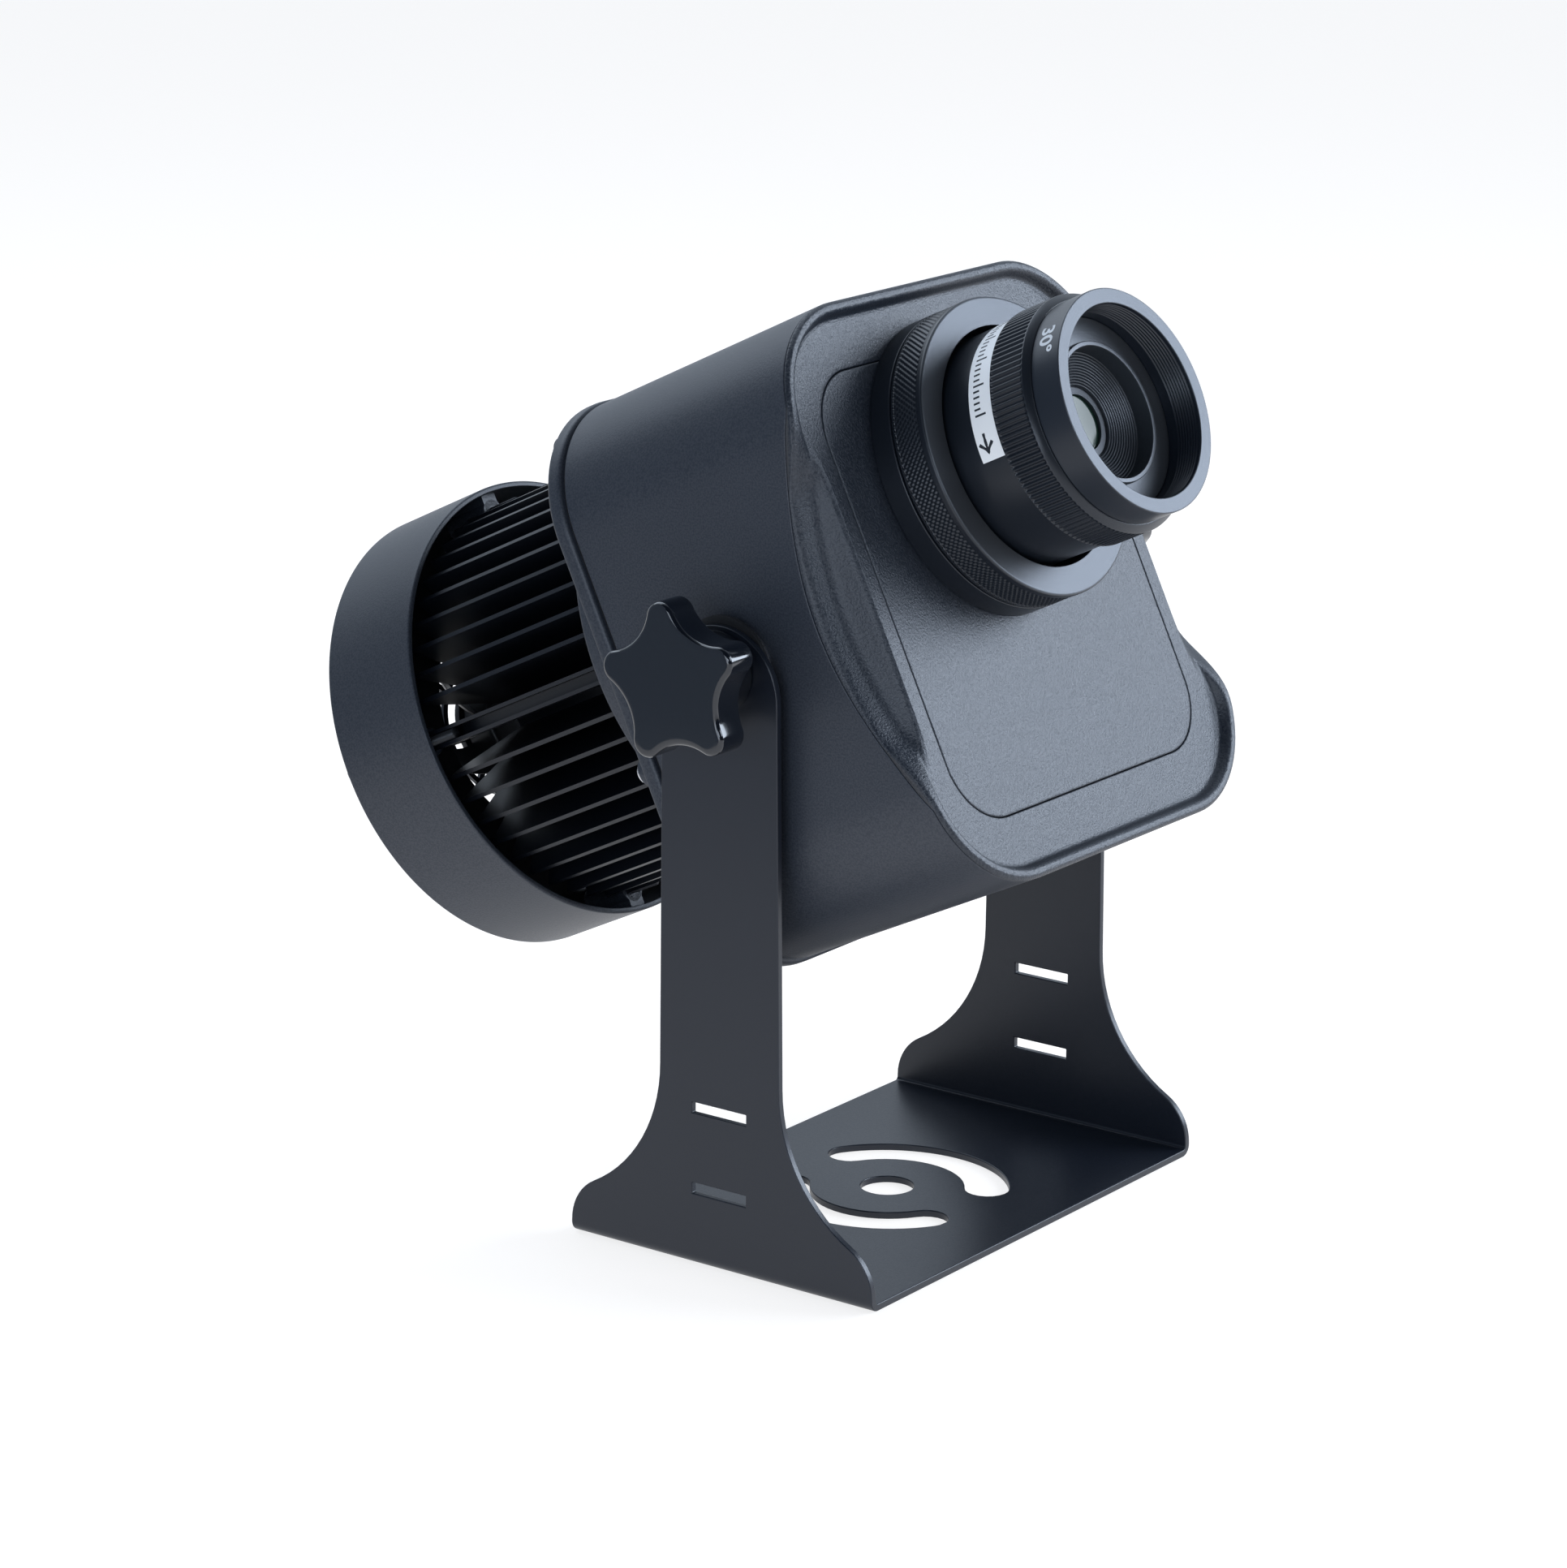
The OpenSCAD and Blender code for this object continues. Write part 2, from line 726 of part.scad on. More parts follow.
// A point of the bezel's rear face, t of the way from the outline to the round collar
function loft_point(n, t, s) = let (
    a = atan2(n[1] - sink_h, n[0]),
    r = collar_r - 0.5,
    p = node_point(n, -bezel_ridge + 0.8, s),
    q = [s, r * cos(a), sink_h + r * sin(a)])
    p + t * (q - p);

module rear_bezel() {
    nodes = outline_nodes(10, 6, 8);
    steps = 5;
    color("#3c414b") in_head() difference() {
        union() {
            ring_solid([
                [for (n = nodes) node_point(n, 0, bezel_front_s)],
                [for (n = nodes) node_point(n, -bezel_ridge, bezel_front_s - 1.7)],
                [for (n = nodes) node_point(n, -bezel_ridge, bezel_edge_s + 0.9)],
                for (i = [0:steps]) let (t = i / steps)
                    [for (n = nodes) loft_point(n, t, bezel_edge_s + t * (loft_s - bezel_edge_s))]]);
            turned(sink_h) polygon([
                [0, bezel_edge_s], [collar_r, bezel_edge_s], [collar_r, lip_bevel - collar_rear_s],
                [collar_r - lip_bevel, -collar_rear_s], [0, -collar_rear_s]]);
            section(screw_seat_s, bezel_edge_s + over) screw_ports(screw_pad_r);
            ring(gland_h, gland_pad_r, 0, gland_seat_s, bezel_edge_s + over);
        }
        ring(sink_h, base_disc_r + seat_gap, 0, base_disc_rear_s, bezel_front_s + over);
        ring(sink_h, fin_tip_r + joint_t, 0, -collar_rear_s - over, base_disc_rear_s + over);
        section(screw_seat_s - over, bezel_front_s + over) screw_ports(port_hole_r + joint_t);
        ring(gland_h, gland_r, 0, gland_seat_s - over, bezel_front_s + over);
    }
}

module bezel_screws() {
    color("#a3a7ab") in_head() at_bezel_screws() turned(0) polygon([
        [0, screw_seat_s + screw_l], [screw_r, screw_seat_s + screw_l], [screw_r, screw_seat_s],
        [screw_head_r, screw_seat_s], [screw_head_r, screw_seat_s - screw_head_t / 2],
        [screw_head_r * 0.75, screw_seat_s - screw_head_t], [0, screw_seat_s - screw_head_t]]);
}

module cable_gland() {
    color("#17181a") in_head() difference() {
        union() {
            ring(gland_h, gland_r - run_gap, 0, gland_seat_s - over, bezel_front_s + over);
            section(gland_seat_s - gland_flange_t, gland_seat_s) translate([0, gland_h])
                circle(gland_hex_r, $fn = 6);
            ring(gland_h, gland_neck_r, 0, gland_seat_s - gland_flange_t - gland_neck_l, gland_seat_s);
        }
        ring(gland_h, gland_wire_r, 0, gland_seat_s - far_out, bezel_front_s + far_out);
    }
}

module gland_nut() {
    front_s = gland_seat_s - gland_flange_t - seat_gap;
    in_r = gland_neck_r + seat_gap;
    floor_s = front_s - gland_neck_l - 1;
    dome_s = front_s - gland_neck_l;
    tip_s = dome_s - 5;
    color("#17181a") in_head() turned(gland_h) polygon([
        [in_r, front_s], [gland_nut_r, front_s], [gland_nut_r, dome_s], [gland_tip_r, tip_s],
        [gland_wire_r, tip_s], [gland_wire_r, floor_s], [in_r, floor_s]]);
}

module heat_sink() {
    color("#2b2e34") in_head() {
        ring(sink_h, base_disc_r, 0, base_disc_rear_s, base_disc_front_s);
        section(-sink_rear_s, base_disc_rear_s + over) translate([0, sink_h]) fins();
    }
}

module fins() {
    first_a = (90 - fin_step * (fins_per_quarter - 1)) / 2;
    circle(core_r);
    for (quarter = [0:3]) rotate(90 * quarter) {
        for (i = [0:fins_per_quarter - 1]) rotate(first_a + fin_step * i)
            translate([core_r - over, -fin_t / 2]) square([fin_tip_r - core_r + over, fin_t]);
        screw_channel();
    }
}

// A fin that ends in two prongs, for a screw between them
module screw_channel() {
    root_r = fin_tip_r - prong_l;
    half_w = prong_gap / 2 + prong_t;
    translate([core_r - over, -fin_t / 2]) square([root_r - core_r, fin_t]);
    translate([root_r - 2 * prong_t, -half_w]) square([2 * prong_t, 2 * half_w]);
    for (side = [0, 1]) mirror([0, side])
        translate([root_r - prong_t, prong_gap / 2]) square([prong_l + prong_t, prong_t]);
}

module at_shroud_screws() {
    translate([0, sink_h]) for (quarter = [0:3])
        rotate(90 * quarter) translate([shroud_screw_r, 0]) children();
}

// A boss of the shroud with the web that ties it to the wall
module boss_outline(room) {
    half_w = boss_r * 0.7 + room;
    circle(boss_r + room);
    translate([0, -half_w]) square([shroud_in_r - shroud_screw_r + shroud_wall / 2, 2 * half_w]);
}

module shroud_ring() {
    color("#3c414b") in_head() {
        turned(sink_h) polygon([
            [shroud_in_r, -shroud_rear_s], [shroud_r, -shroud_rear_s],
            [shroud_r, -shroud_front_s - lip_bevel], [shroud_r - lip_bevel, -shroud_front_s],
            [shroud_in_r, -shroud_front_s]]);
        section(-shroud_rear_s, sink_end_s) at_shroud_screws() difference() {
            boss_outline(0);
            circle(boss_hole_r);
        }
    }
}

module rear_grille() {
    color("#1b1c20") in_head() section(-shroud_rear_s - grille_t, -shroud_rear_s) difference() {
        union() {
            translate([0, sink_h]) grille_rings();
            at_shroud_screws() circle(boss_r);
        }
        at_shroud_screws() circle(boss_hole_r);
    }
}

module grille_rings() {
    radii = [for (r = [grille_step:grille_step:grille_r - grille_step / 2]) r, grille_r];
    for (r = radii) difference() {
        circle(r);
        circle(r - grille_wire);
    }
    for (turn = [45, 135]) rotate(turn) square([2 * grille_r - grille_wire, grille_wire], center = true);
}

module shroud_screws() {
    seat_s = -shroud_rear_s - grille_t;
    tip_s = sink_end_s + 12;
    core_r = prong_gap / 2 - run_gap / 2;
    color("#2b2e34") in_head() translate([0, 0, sink_h]) for (quarter = [0:3]) rotate([90 * quarter, 0, 0])
        translate([0, 0, shroud_screw_r]) turned(0) polygon([
            [0, tip_s], [core_r, tip_s], [core_r, sink_end_s],
            [shroud_screw_shank_r, sink_end_s], [shroud_screw_shank_r, seat_s],
            [shroud_screw_head_r, seat_s], [shroud_screw_head_r, seat_s - shroud_screw_head_t / 2],
            [shroud_screw_head_r * 0.7, seat_s - shroud_screw_head_t], [0, seat_s - shroud_screw_head_t]]);
}

// The fan's frame and the round plate that carries it and closes the shroud round it
module fan_frame() {
    rear_s = fan_front_s - fan_t;
    color("#141416") in_head() {
        section(rear_s, fan_front_s) fan_openings() rounded(fan_w, fan_w, fan_corner_r);
        section(fan_front_s - fan_plate_t, fan_front_s) fan_openings() circle(grille_r);
        section(rear_s, rear_s + fan_strut_t) translate([0, sink_h]) {
            circle(fan_hub_r + over);
            for (turn = [0, 90]) rotate(turn)
                square([2 * fan_bore_r + over, fan_strut_w], center = true);
        }
        ring(sink_h, fan_pin_r, 0, rear_s, fan_front_s - 2 * fan_end_gap);
    }
}

// Cuts the fan's bore, its screw holes and the room for the shroud's bosses from an outline
module fan_openings() {
    hole_at = fan_w / 2 - 4.25;
    difference() {
        translate([0, sink_h]) children();
        translate([0, sink_h]) circle(fan_bore_r);
        for (i = [-1, 1], j = [-1, 1])
            translate([i * hole_at, sink_h + j * hole_at]) circle(boss_hole_r);
        at_shroud_screws() boss_outline(joint_t);
    }
}

module fan_rotor() {
    rear_s = fan_front_s - fan_t + fan_strut_t + fan_end_gap;
    front_s = fan_front_s - fan_end_gap;
    mid_s = (rear_s + front_s) / 2;
    chord = (front_s - rear_s - blade_t) / cos(blade_pitch);
    color("#1a1a1d") in_head() {
        turned(sink_h) polygon([
            [fan_pin_r + run_gap, rear_s], [fan_hub_r, rear_s], [fan_hub_r, front_s - over],
            [fan_hub_r - over, front_s], [fan_pin_r + run_gap, front_s]]);
        for (i = [1:fan_blades]) translate([mid_s, 0, sink_h]) rotate([360 * i / fan_blades, 0, 0])
            translate([0, 0, fan_hub_r - over]) rotate([0, 0, blade_pitch])
                translate([-chord / 2, -blade_t / 2, 0])
                    cube([chord, blade_t, fan_bore_r - fan_tip_gap - fan_hub_r + over]);
    }
}

module heat_spreader() {
    color("#b4693c") in_head()
        ring(lens_h, spreader_r, 0, base_disc_front_s, base_disc_front_s + spreader_t);
}

module led_board() {
    rear_s = base_disc_front_s + spreader_t;
    color("#d9dcd6") in_head() {
        ring(lens_h, board_r, 0, rear_s, rear_s + board_t);
        intersection() {
            translate([rear_s + board_t, 0, lens_h]) sphere(dome_r);
            ring(lens_h, board_r, 0, rear_s, rear_s + board_t + dome_r + over);
        }
    }
}

module condenser_barrel() {
    out_r = condenser_r + condenser_wall;
    bore_r = condenser_r + seat_gap;
    color("#1f2023") in_head() turned(lens_h) polygon([
        [skirt_in_r, base_disc_front_s], [barrel_foot_r, base_disc_front_s],
        [barrel_foot_r, base_disc_front_s + barrel_foot_t], [skirt_r, base_disc_front_s + barrel_foot_t],
        [skirt_r, skirt_front_s + 3], [out_r, skirt_front_s + 3], [out_r, condenser_front_s],
        [bore_r, condenser_front_s], [bore_r, condenser_stop_s], [condenser_stop_r, condenser_stop_s],
        [condenser_stop_r, skirt_front_s], [skirt_in_r, skirt_front_s]]);
}

// How far a domed face of radius r and height cap has fallen at the radius x
function sag(r, cap, x) = let (ball = (r * r + cap * cap) / (2 * cap)) ball - sqrt(ball * ball - x * x);

// A lens with its rim from s0 to s1, and a domed cap before and behind the rim
module lens_blank(r, s0, s1, rear_cap, front_cap) {
    steps = 8;
    turned(lens_h) polygon([
        for (i = [0:steps]) let (x = r * i / steps) [x, s1 + front_cap - sag(r, front_cap, x)],
        for (i = [steps:-1:0]) let (x = r * i / steps) [x, s0 - rear_cap + sag(r, rear_cap, x)]]);
}

condenser_cap = 5.5;
flat_cap = 0.4;
condenser_rear_rim_s = condenser_stop_s + flat_cap;
condenser_front_rim_s = condenser_front_s - holder_spigot_l - flat_cap - condenser_edge_t;

module condenser_lens_rear() {
    color("#dfeaf0") in_head() lens_blank(condenser_r, condenser_rear_rim_s,
        condenser_rear_rim_s + condenser_edge_t, flat_cap, condenser_cap);
}

module condenser_lens_front() {
    color("#dfeaf0") in_head() lens_blank(condenser_r, condenser_front_rim_s,
        condenser_front_rim_s + condenser_edge_t, condenser_cap, flat_cap);
}

module condenser_spacer() {
    in_r = condenser_r - 2;
    rise = condenser_cap - sag(condenser_r, condenser_cap, in_r) + seat_gap;
    color("#2b2c30") in_head() ring(lens_h, condenser_r, in_r,
        condenser_rear_rim_s + condenser_edge_t + rise, condenser_front_rim_s - rise);
}

module gobo_holder() {
    spigot_rear_s = condenser_front_s - holder_spigot_l;
    front_s = condenser_front_s + holder_t;
    seat_s = condenser_front_s + 2;
    seat_r = gobo_r + seat_gap;
    in_r = condenser_r - 2;
    color("#2b2c30") in_head() turned(lens_h) polygon([
        [in_r, spigot_rear_s], [condenser_r, spigot_rear_s], [condenser_r, condenser_front_s],
        [holder_r, condenser_front_s], [holder_r, front_s], [seat_r, front_s], [seat_r, seat_s],
        [gate_r, seat_s], [gate_r, condenser_front_s], [in_r, condenser_front_s]]);
}

module gobo_glass() {
    rear_s = condenser_front_s + 2;
    color("#8fb6c4") in_head() ring(lens_h, gobo_r, 0, rear_s, rear_s + gobo_t);
}

module gobo_clip() {
    rear_s = condenser_front_s + 2 + gobo_t;
    color("#9da2a8") in_head() ring(lens_h, gobo_r, gobo_r - clip_w, rear_s, rear_s + clip_t);
}

floor_h = housing_mid_h - housing_h / 2 + tube_wall;

// Open channel on the housing's floor that the driver lies in
module driver_bracket() {
    w = driver_w + 2 * bracket_t;
    color("#8d9197") in_head() section(driver_mid_s - driver_l / 2, driver_mid_s + driver_l / 2)
        translate([0, floor_h]) difference() {
            translate([-w / 2, 0]) square([w, bracket_lip_h + bracket_t]);
            translate([-driver_w / 2, bracket_t]) square([driver_w, bracket_lip_h + over]);
        }
}

module driver_box() {
    w = driver_w - 2 * seat_gap;
    color("#c9ccc9") in_head() section(driver_mid_s - driver_l / 2, driver_mid_s + driver_l / 2)
        translate([-w / 2, floor_h + bracket_t]) square([w, driver_h]);
}

module lens_mount() {
    floor_s = cover_face_s + mount_floor_t;
    color("#24262b") in_head() turned(lens_h) polygon([
        [tube_bore_r, guide_rear_s], [guide_r, guide_rear_s], [guide_r, cover_face_s],
        [mount_r, cover_face_s], [mount_r, mount_front_s], [neck_r, mount_front_s],
        [neck_r, neck_front_s], [neck_in_r, neck_front_s], [neck_in_r, floor_s], [tube_bore_r, floor_s]]);
}

module mount_nut() {
    front_s = cover_face_s - panel_t;
    color("#24262b") in_head() ring(lens_h, nut_r, guide_r + seat_gap, front_s - nut_t, front_s);
}

module lock_ring() {
    color("#24262b") in_head() turned(lens_h) polygon([
        [neck_r + run_gap, lock_s], [mount_r, lock_s], [mount_r, lock_front_s - lock_bevel],
        [mount_r - lock_bevel, lock_front_s], [lock_hole_r, lock_front_s],
        [lock_hole_r, neck_front_s + run_gap], [neck_r + run_gap, neck_front_s + run_gap]]);
}

module lens_barrel() {
    recess_s = grip_front_s - ring_spigot_l;
    recess_r = ring_spigot_r + seat_gap;
    color("#1a1c21") in_head() turned(lens_h) polygon([
        [tube_bore_r, barrel_rear_s], [barrel_r, barrel_rear_s], [barrel_r, grip_s], [grip_r, grip_s],
        [grip_r, grip_front_s], [recess_r, grip_front_s], [recess_r, recess_s], [tube_bore_r, recess_s]]);
}

module front_ring() {
    rear_s = grip_front_s + seat_gap;
    color("#2a2c32") in_head() turned(lens_h) polygon([
        [tube_bore_r, rear_s - ring_spigot_l], [ring_spigot_r, rear_s - ring_spigot_l],
        [ring_spigot_r, rear_s], [ring_groove_r, rear_s], [ring_groove_r, rear_s + ring_groove],
        [front_ring_r, rear_s + ring_groove], [front_ring_r, front_ring_s - ring_bevel],
        [front_ring_r - ring_bevel, front_ring_s], [tube_bore_r, front_ring_s]]);
}

module focus_label() {
    front_s = grip_s - seat_gap;
    color("#f0f1f2") in_head() intersection() {
        ring(lens_h, barrel_r + label_t, barrel_r, front_s - label_w, front_s);
        section(front_s - label_w - over, front_s + over) translate([0, lens_h]) polygon([
            [0, 0],
            for (i = [0:4]) let (a = label_start + label_angle * i / 4) far_out * [-cos(a), sin(a)]]);
    }
}

rear_seat_r = rear_lens_r + seat_gap;
rear_shoulder_s = rear_lens_s + 4;
stop_rear_s = stop_front_s - stop_t;
front_cap = 1.5;
rear_cap = 3;

module inner_lens_tube() {
    seat_r = front_lens_r + seat_gap;
    color("#1d1f24") in_head() turned(lens_h) polygon([
        [rear_seat_r, slide_rear_s], [slide_r, slide_rear_s], [slide_r, slide_front_s],
        [step_out_r, slide_front_s], [step_out_r, slide_front_s + step_l],
        [step_in_r, slide_front_s + step_l], [step_in_r, cone_rim_s], [cone_end_r, cone_end_s],
        [cone_end_r, stop_front_s], [stop_r, stop_front_s], [stop_r, stop_rear_s],
        [seat_r, stop_rear_s], [seat_r, stop_rear_s - front_lens_t], [inside_r, taper_s],
        [inside_r, rear_shoulder_s], [rear_seat_r, rear_shoulder_s]]);
}

module front_lens() {
    rim_s = stop_rear_s - front_cap + sag(front_lens_r, front_cap, stop_r);
    color("#cfe2dc") in_head() lens_blank(front_lens_r, rim_s - front_lens_edge_t, rim_s,
        front_cap, front_cap);
}

module rear_lens() {
    rim_s = rear_shoulder_s - flat_cap;
    color("#cfe2dc") in_head() lens_blank(rear_lens_r, rim_s - rear_lens_edge_t, rim_s,
        rear_cap, flat_cap);
}

module lens_retainer() {
    front_s = rear_shoulder_s - flat_cap - rear_lens_edge_t
        - (rear_cap - sag(rear_lens_r, rear_cap, inside_r)) - seat_gap;
    color("#2b2c30") in_head() ring(lens_h, rear_lens_r, inside_r, front_s - retainer_t, front_s);
}

yoke_base();
yoke_arm_right();
yoke_arm_left();
knob_right();
knob_left();
stud_right();
stud_left();
pivot_bosses();
friction_washers();
housing_tube();
front_gasket();
front_cover();
front_panel();
rear_gasket();
rear_bezel();
bezel_screws();
cable_gland();
gland_nut();
heat_sink();
shroud_ring();
rear_grille();
shroud_screws();
fan_frame();
fan_rotor();
heat_spreader();
led_board();
condenser_barrel();
condenser_lens_rear();
condenser_spacer();
condenser_lens_front();
gobo_holder();
gobo_glass();
gobo_clip();
driver_bracket();
driver_box();
lens_mount();
mount_nut();
lock_ring();
lens_barrel();
front_ring();
focus_label();
inner_lens_tube();
front_lens();
rear_lens();
lens_retainer();
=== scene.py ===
"""The looks of a compact gobo projector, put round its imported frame.

Lengths here are millimetres in the head's own axes: s ahead along the lens, y across to the left,
h up, all from the tilt axis. place_head() turns them into the part's axes, in metres.
"""

import math

import bmesh
import bpy
import numpy as np
from mathutils import Matrix, Vector


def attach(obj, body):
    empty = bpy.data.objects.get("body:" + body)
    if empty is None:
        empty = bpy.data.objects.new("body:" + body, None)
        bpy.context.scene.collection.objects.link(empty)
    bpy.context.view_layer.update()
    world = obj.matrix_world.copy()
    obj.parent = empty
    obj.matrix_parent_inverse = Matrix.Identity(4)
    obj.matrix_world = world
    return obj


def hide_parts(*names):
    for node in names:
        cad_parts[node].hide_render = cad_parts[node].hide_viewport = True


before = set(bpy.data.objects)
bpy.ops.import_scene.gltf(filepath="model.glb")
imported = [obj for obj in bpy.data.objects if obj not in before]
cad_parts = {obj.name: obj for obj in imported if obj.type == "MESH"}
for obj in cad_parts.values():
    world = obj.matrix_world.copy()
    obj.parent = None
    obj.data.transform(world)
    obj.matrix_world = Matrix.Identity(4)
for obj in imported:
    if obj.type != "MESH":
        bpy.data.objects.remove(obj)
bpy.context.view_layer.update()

# Driving sizes, the same as the part's
MM = 0.001
HEAD_TILT = math.radians(25.8)
PIVOT_Z = 188.5
LENS_H = 32.1
SINK_H = 13.4
HOUSING_W = 162
HOUSING_H = 180
HOUSING_MID_H = 0.5
CORNER_R = 37
COVER_FACE_S = 48.8
SCOOP_DEPTH = 14.4
SCOOP_IN = 11
SCOOP_HALF_H = 62
SCOOP_MID_H = 1.5
SEAM_TOP_S = COVER_FACE_S + 2.2
TUBE_REAR_S = -40.5
TUBE_WALL = 2.5
PANEL_W = 129
PANEL_H = 140
PANEL_CORNER_R = 20
PANEL_T = 4
PANEL_JOINT = 0.25
GUIDE_R = 33.8
BEZEL_FRONT_S = -41.7
BEZEL_EDGE_S = -47.1
LOFT_S = -52.1
COLLAR_R = 73
COLLAR_REAR_S = -59.5
SINK_DISC_R = 69.3
FIN_TIP_R = 66
SCREW_SPOTS = ((74.4, -20), (60, 80), (60, -79))
SCREW_SEAT_S = -50.8
GLAND_H = -72
GLAND_SEAT_S = -52.5
SHROUD_R = 72.9
SHROUD_WALL = 1.8
SHROUD_FRONT_S = -133.5
SHROUD_REAR_S = -171.1
SHROUD_SCREW_R = 65
SINK_REAR_S = -139
FAN_FRONT_S = -156.1
MOUNT_R = 47
LOCK_S = 57.1
LOCK_FRONT_S = 69.2
KNURL_REAR_S = 57.75
KNURL_FRONT_S = 67.05
BARREL_R = 36
GRIP_R = 37.2
GRIP_S = 87.2
GRIP_FRONT_S = 101.2
GRIP_FRONT_R = 35.3
RIB_END_S = 99.2
RIBS = 120
KNURLS = 156
RING_SEAT_S = 96.2
RING_SEAT_R = 33.6
FRONT_RING_R = 34.8
FRONT_RING_S = 111.5
BORE_R = 30.1
STOP_R = 8.8
KNOB_FACE_Y = 112.2
KNOB_T = 11.8
KNOB_LOBES = 5
KNOB_PHASE = math.radians(28.4)
ARM_OUT = 88
BEND_Y = 84.5


def place_head(points):
    """Head axes (s, y, h) to the part's axes: a turn by the head's tilt, then up to the pivot."""
    s, y, h = points[..., 0], points[..., 1], points[..., 2]
    ahead = s * math.cos(HEAD_TILT) - h * math.sin(HEAD_TILT)
    up = PIVOT_Z + s * math.sin(HEAD_TILT) + h * math.cos(HEAD_TILT)
    return MM * np.stack([ahead, y, up], -1)


def place_pivot(points):
    """Pivot axes (out along y, x, z), from the tilt axis, to the part's axes in metres."""
    return MM * np.stack([points[..., 1], points[..., 0], PIVOT_Z + points[..., 2]], -1)


def add_object(name, data):
    """A new object in the scene that shows the data."""
    thing = bpy.data.objects.new(name, data)
    bpy.context.scene.collection.objects.link(thing)
    return thing


def set_inputs(node, values):
    """Sets the inputs of a shader node by their names."""
    for name, value in values.items():
        node.inputs[name].default_value = value


# Camera, floor and light


def aim_camera():
    """A camera on the photograph's line of sight: turned by azimuth, raised by elevation, rolled."""
    azimuth, elevation, roll = np.radians([36.664, 15.707, 0.257])
    target = MM * np.array([-41.67, 0, 127.13])
    distance = 1.59756
    focal_px = 6251.5
    frame_px = 1931
    back = np.array([
        math.sin(azimuth) * math.cos(elevation),
        -math.cos(azimuth) * math.cos(elevation),
        math.sin(elevation)])
    right = np.cross([0, 0, 1], back)
    right /= np.linalg.norm(right)
    up = np.cross(back, right)
    turned_right = math.cos(roll) * right + math.sin(roll) * up
    turned_up = -math.sin(roll) * right + math.cos(roll) * up
    data = bpy.data.cameras.new("camera")
    data.sensor_fit = "HORIZONTAL"
    data.sensor_width = 36
    data.lens = focal_px / frame_px * data.sensor_width
    data.clip_end = 50
    camera = add_object("camera", data)
    pose = np.eye(4)
    pose[:3, 0] = turned_right
    pose[:3, 1] = turned_up
    pose[:3, 2] = back
    pose[:3, 3] = target + distance * back
    camera.matrix_world = Matrix(pose)
    bpy.context.scene.camera = camera


def add_softbox(name, where, aim, width, height, power, colour):
    """A rectangular light of width by height metres at where, turned to face aim."""
    data = bpy.data.lights.new(name, "AREA")
    data.shape = "RECTANGLE"
    data.size = width
    data.size_y = height
    data.energy = power
    data.color = colour
    light = add_object(name, data)
    light.location = where
    light.rotation_euler = (Vector(aim) - Vector(where)).to_track_quat("-Z", "Y").to_euler()


def light_room():
    """A white room, brighter behind the projector than on the viewer's side, with five softboxes."""
    viewer_side, far_side, seen_strength = 0.03, 0.88, 1.4
    bpy.context.scene.view_settings.view_transform = "Standard"
    world = bpy.data.worlds.new("studio")
    bpy.context.scene.world = world
    world.use_nodes = True
    nodes, links = world.node_tree.nodes, world.node_tree.links
    nodes.clear()
    coords = nodes.new("ShaderNodeTexCoord")
    behind = nodes.new("ShaderNodeVectorMath")
    behind.operation = "DOT_PRODUCT"
    away_from_viewer = (-0.55, 0.75, 0.3)
    behind.inputs[1].default_value = away_from_viewer
    links.new(coords.outputs["Generated"], behind.inputs[0])
    share = nodes.new("ShaderNodeMapRange")
    share.interpolation_type = "SMOOTHSTEP"
    set_inputs(share, {"From Min": 0.05, "From Max": 0.85, "To Min": viewer_side, "To Max": far_side})
    links.new(behind.outputs["Value"], share.inputs["Value"])
    path = nodes.new("ShaderNodeLightPath")
    seen = nodes.new("ShaderNodeMix")
    seen.data_type = "FLOAT"
    set_inputs(seen, {"B": seen_strength})
    links.new(path.outputs["Is Camera Ray"], seen.inputs["Factor"])
    links.new(share.outputs["Result"], seen.inputs["A"])
    background = nodes.new("ShaderNodeBackground")
    set_inputs(background, {"Color": (0.78, 0.88, 1.0, 1)})
    links.new(seen.outputs["Result"], background.inputs["Strength"])
    output = nodes.new("ShaderNodeOutputWorld")
    links.new(background.outputs["Background"], output.inputs["Surface"])
    cool = (0.8, 0.89, 1.0)
    lens, tube, yoke = (0.09, 0, 0.265), (-0.05, 0, 0.15), (0, 0, 0.2)
    add_softbox("right_softbox", (1.14, 1.17, 0.77), lens, 1.2, 0.9, 33.5, cool)
    add_softbox("top_softbox", (-1.1, 0.25, 1.5), tube, 1.6, 1.4, 13, cool)
    add_softbox("left_softbox", (0.42, -1.55, 0.45), yoke, 0.9, 0.8, 7.5, cool)
    add_softbox("front_softbox", (1.25, 0.1, 0.85), lens, 0.5, 0.5, 5, cool)
    add_softbox("viewer_softbox", (0.85, -1.15, 0.6), lens, 0.3, 0.3, 1.8, cool)


def make_glow(material, colour, strength):
    """Lets a material shine by itself."""
    shader = material.node_tree.nodes["Principled BSDF"]
    set_inputs(shader, {"Emission Color": (*colour, 1), "Emission Strength": strength})


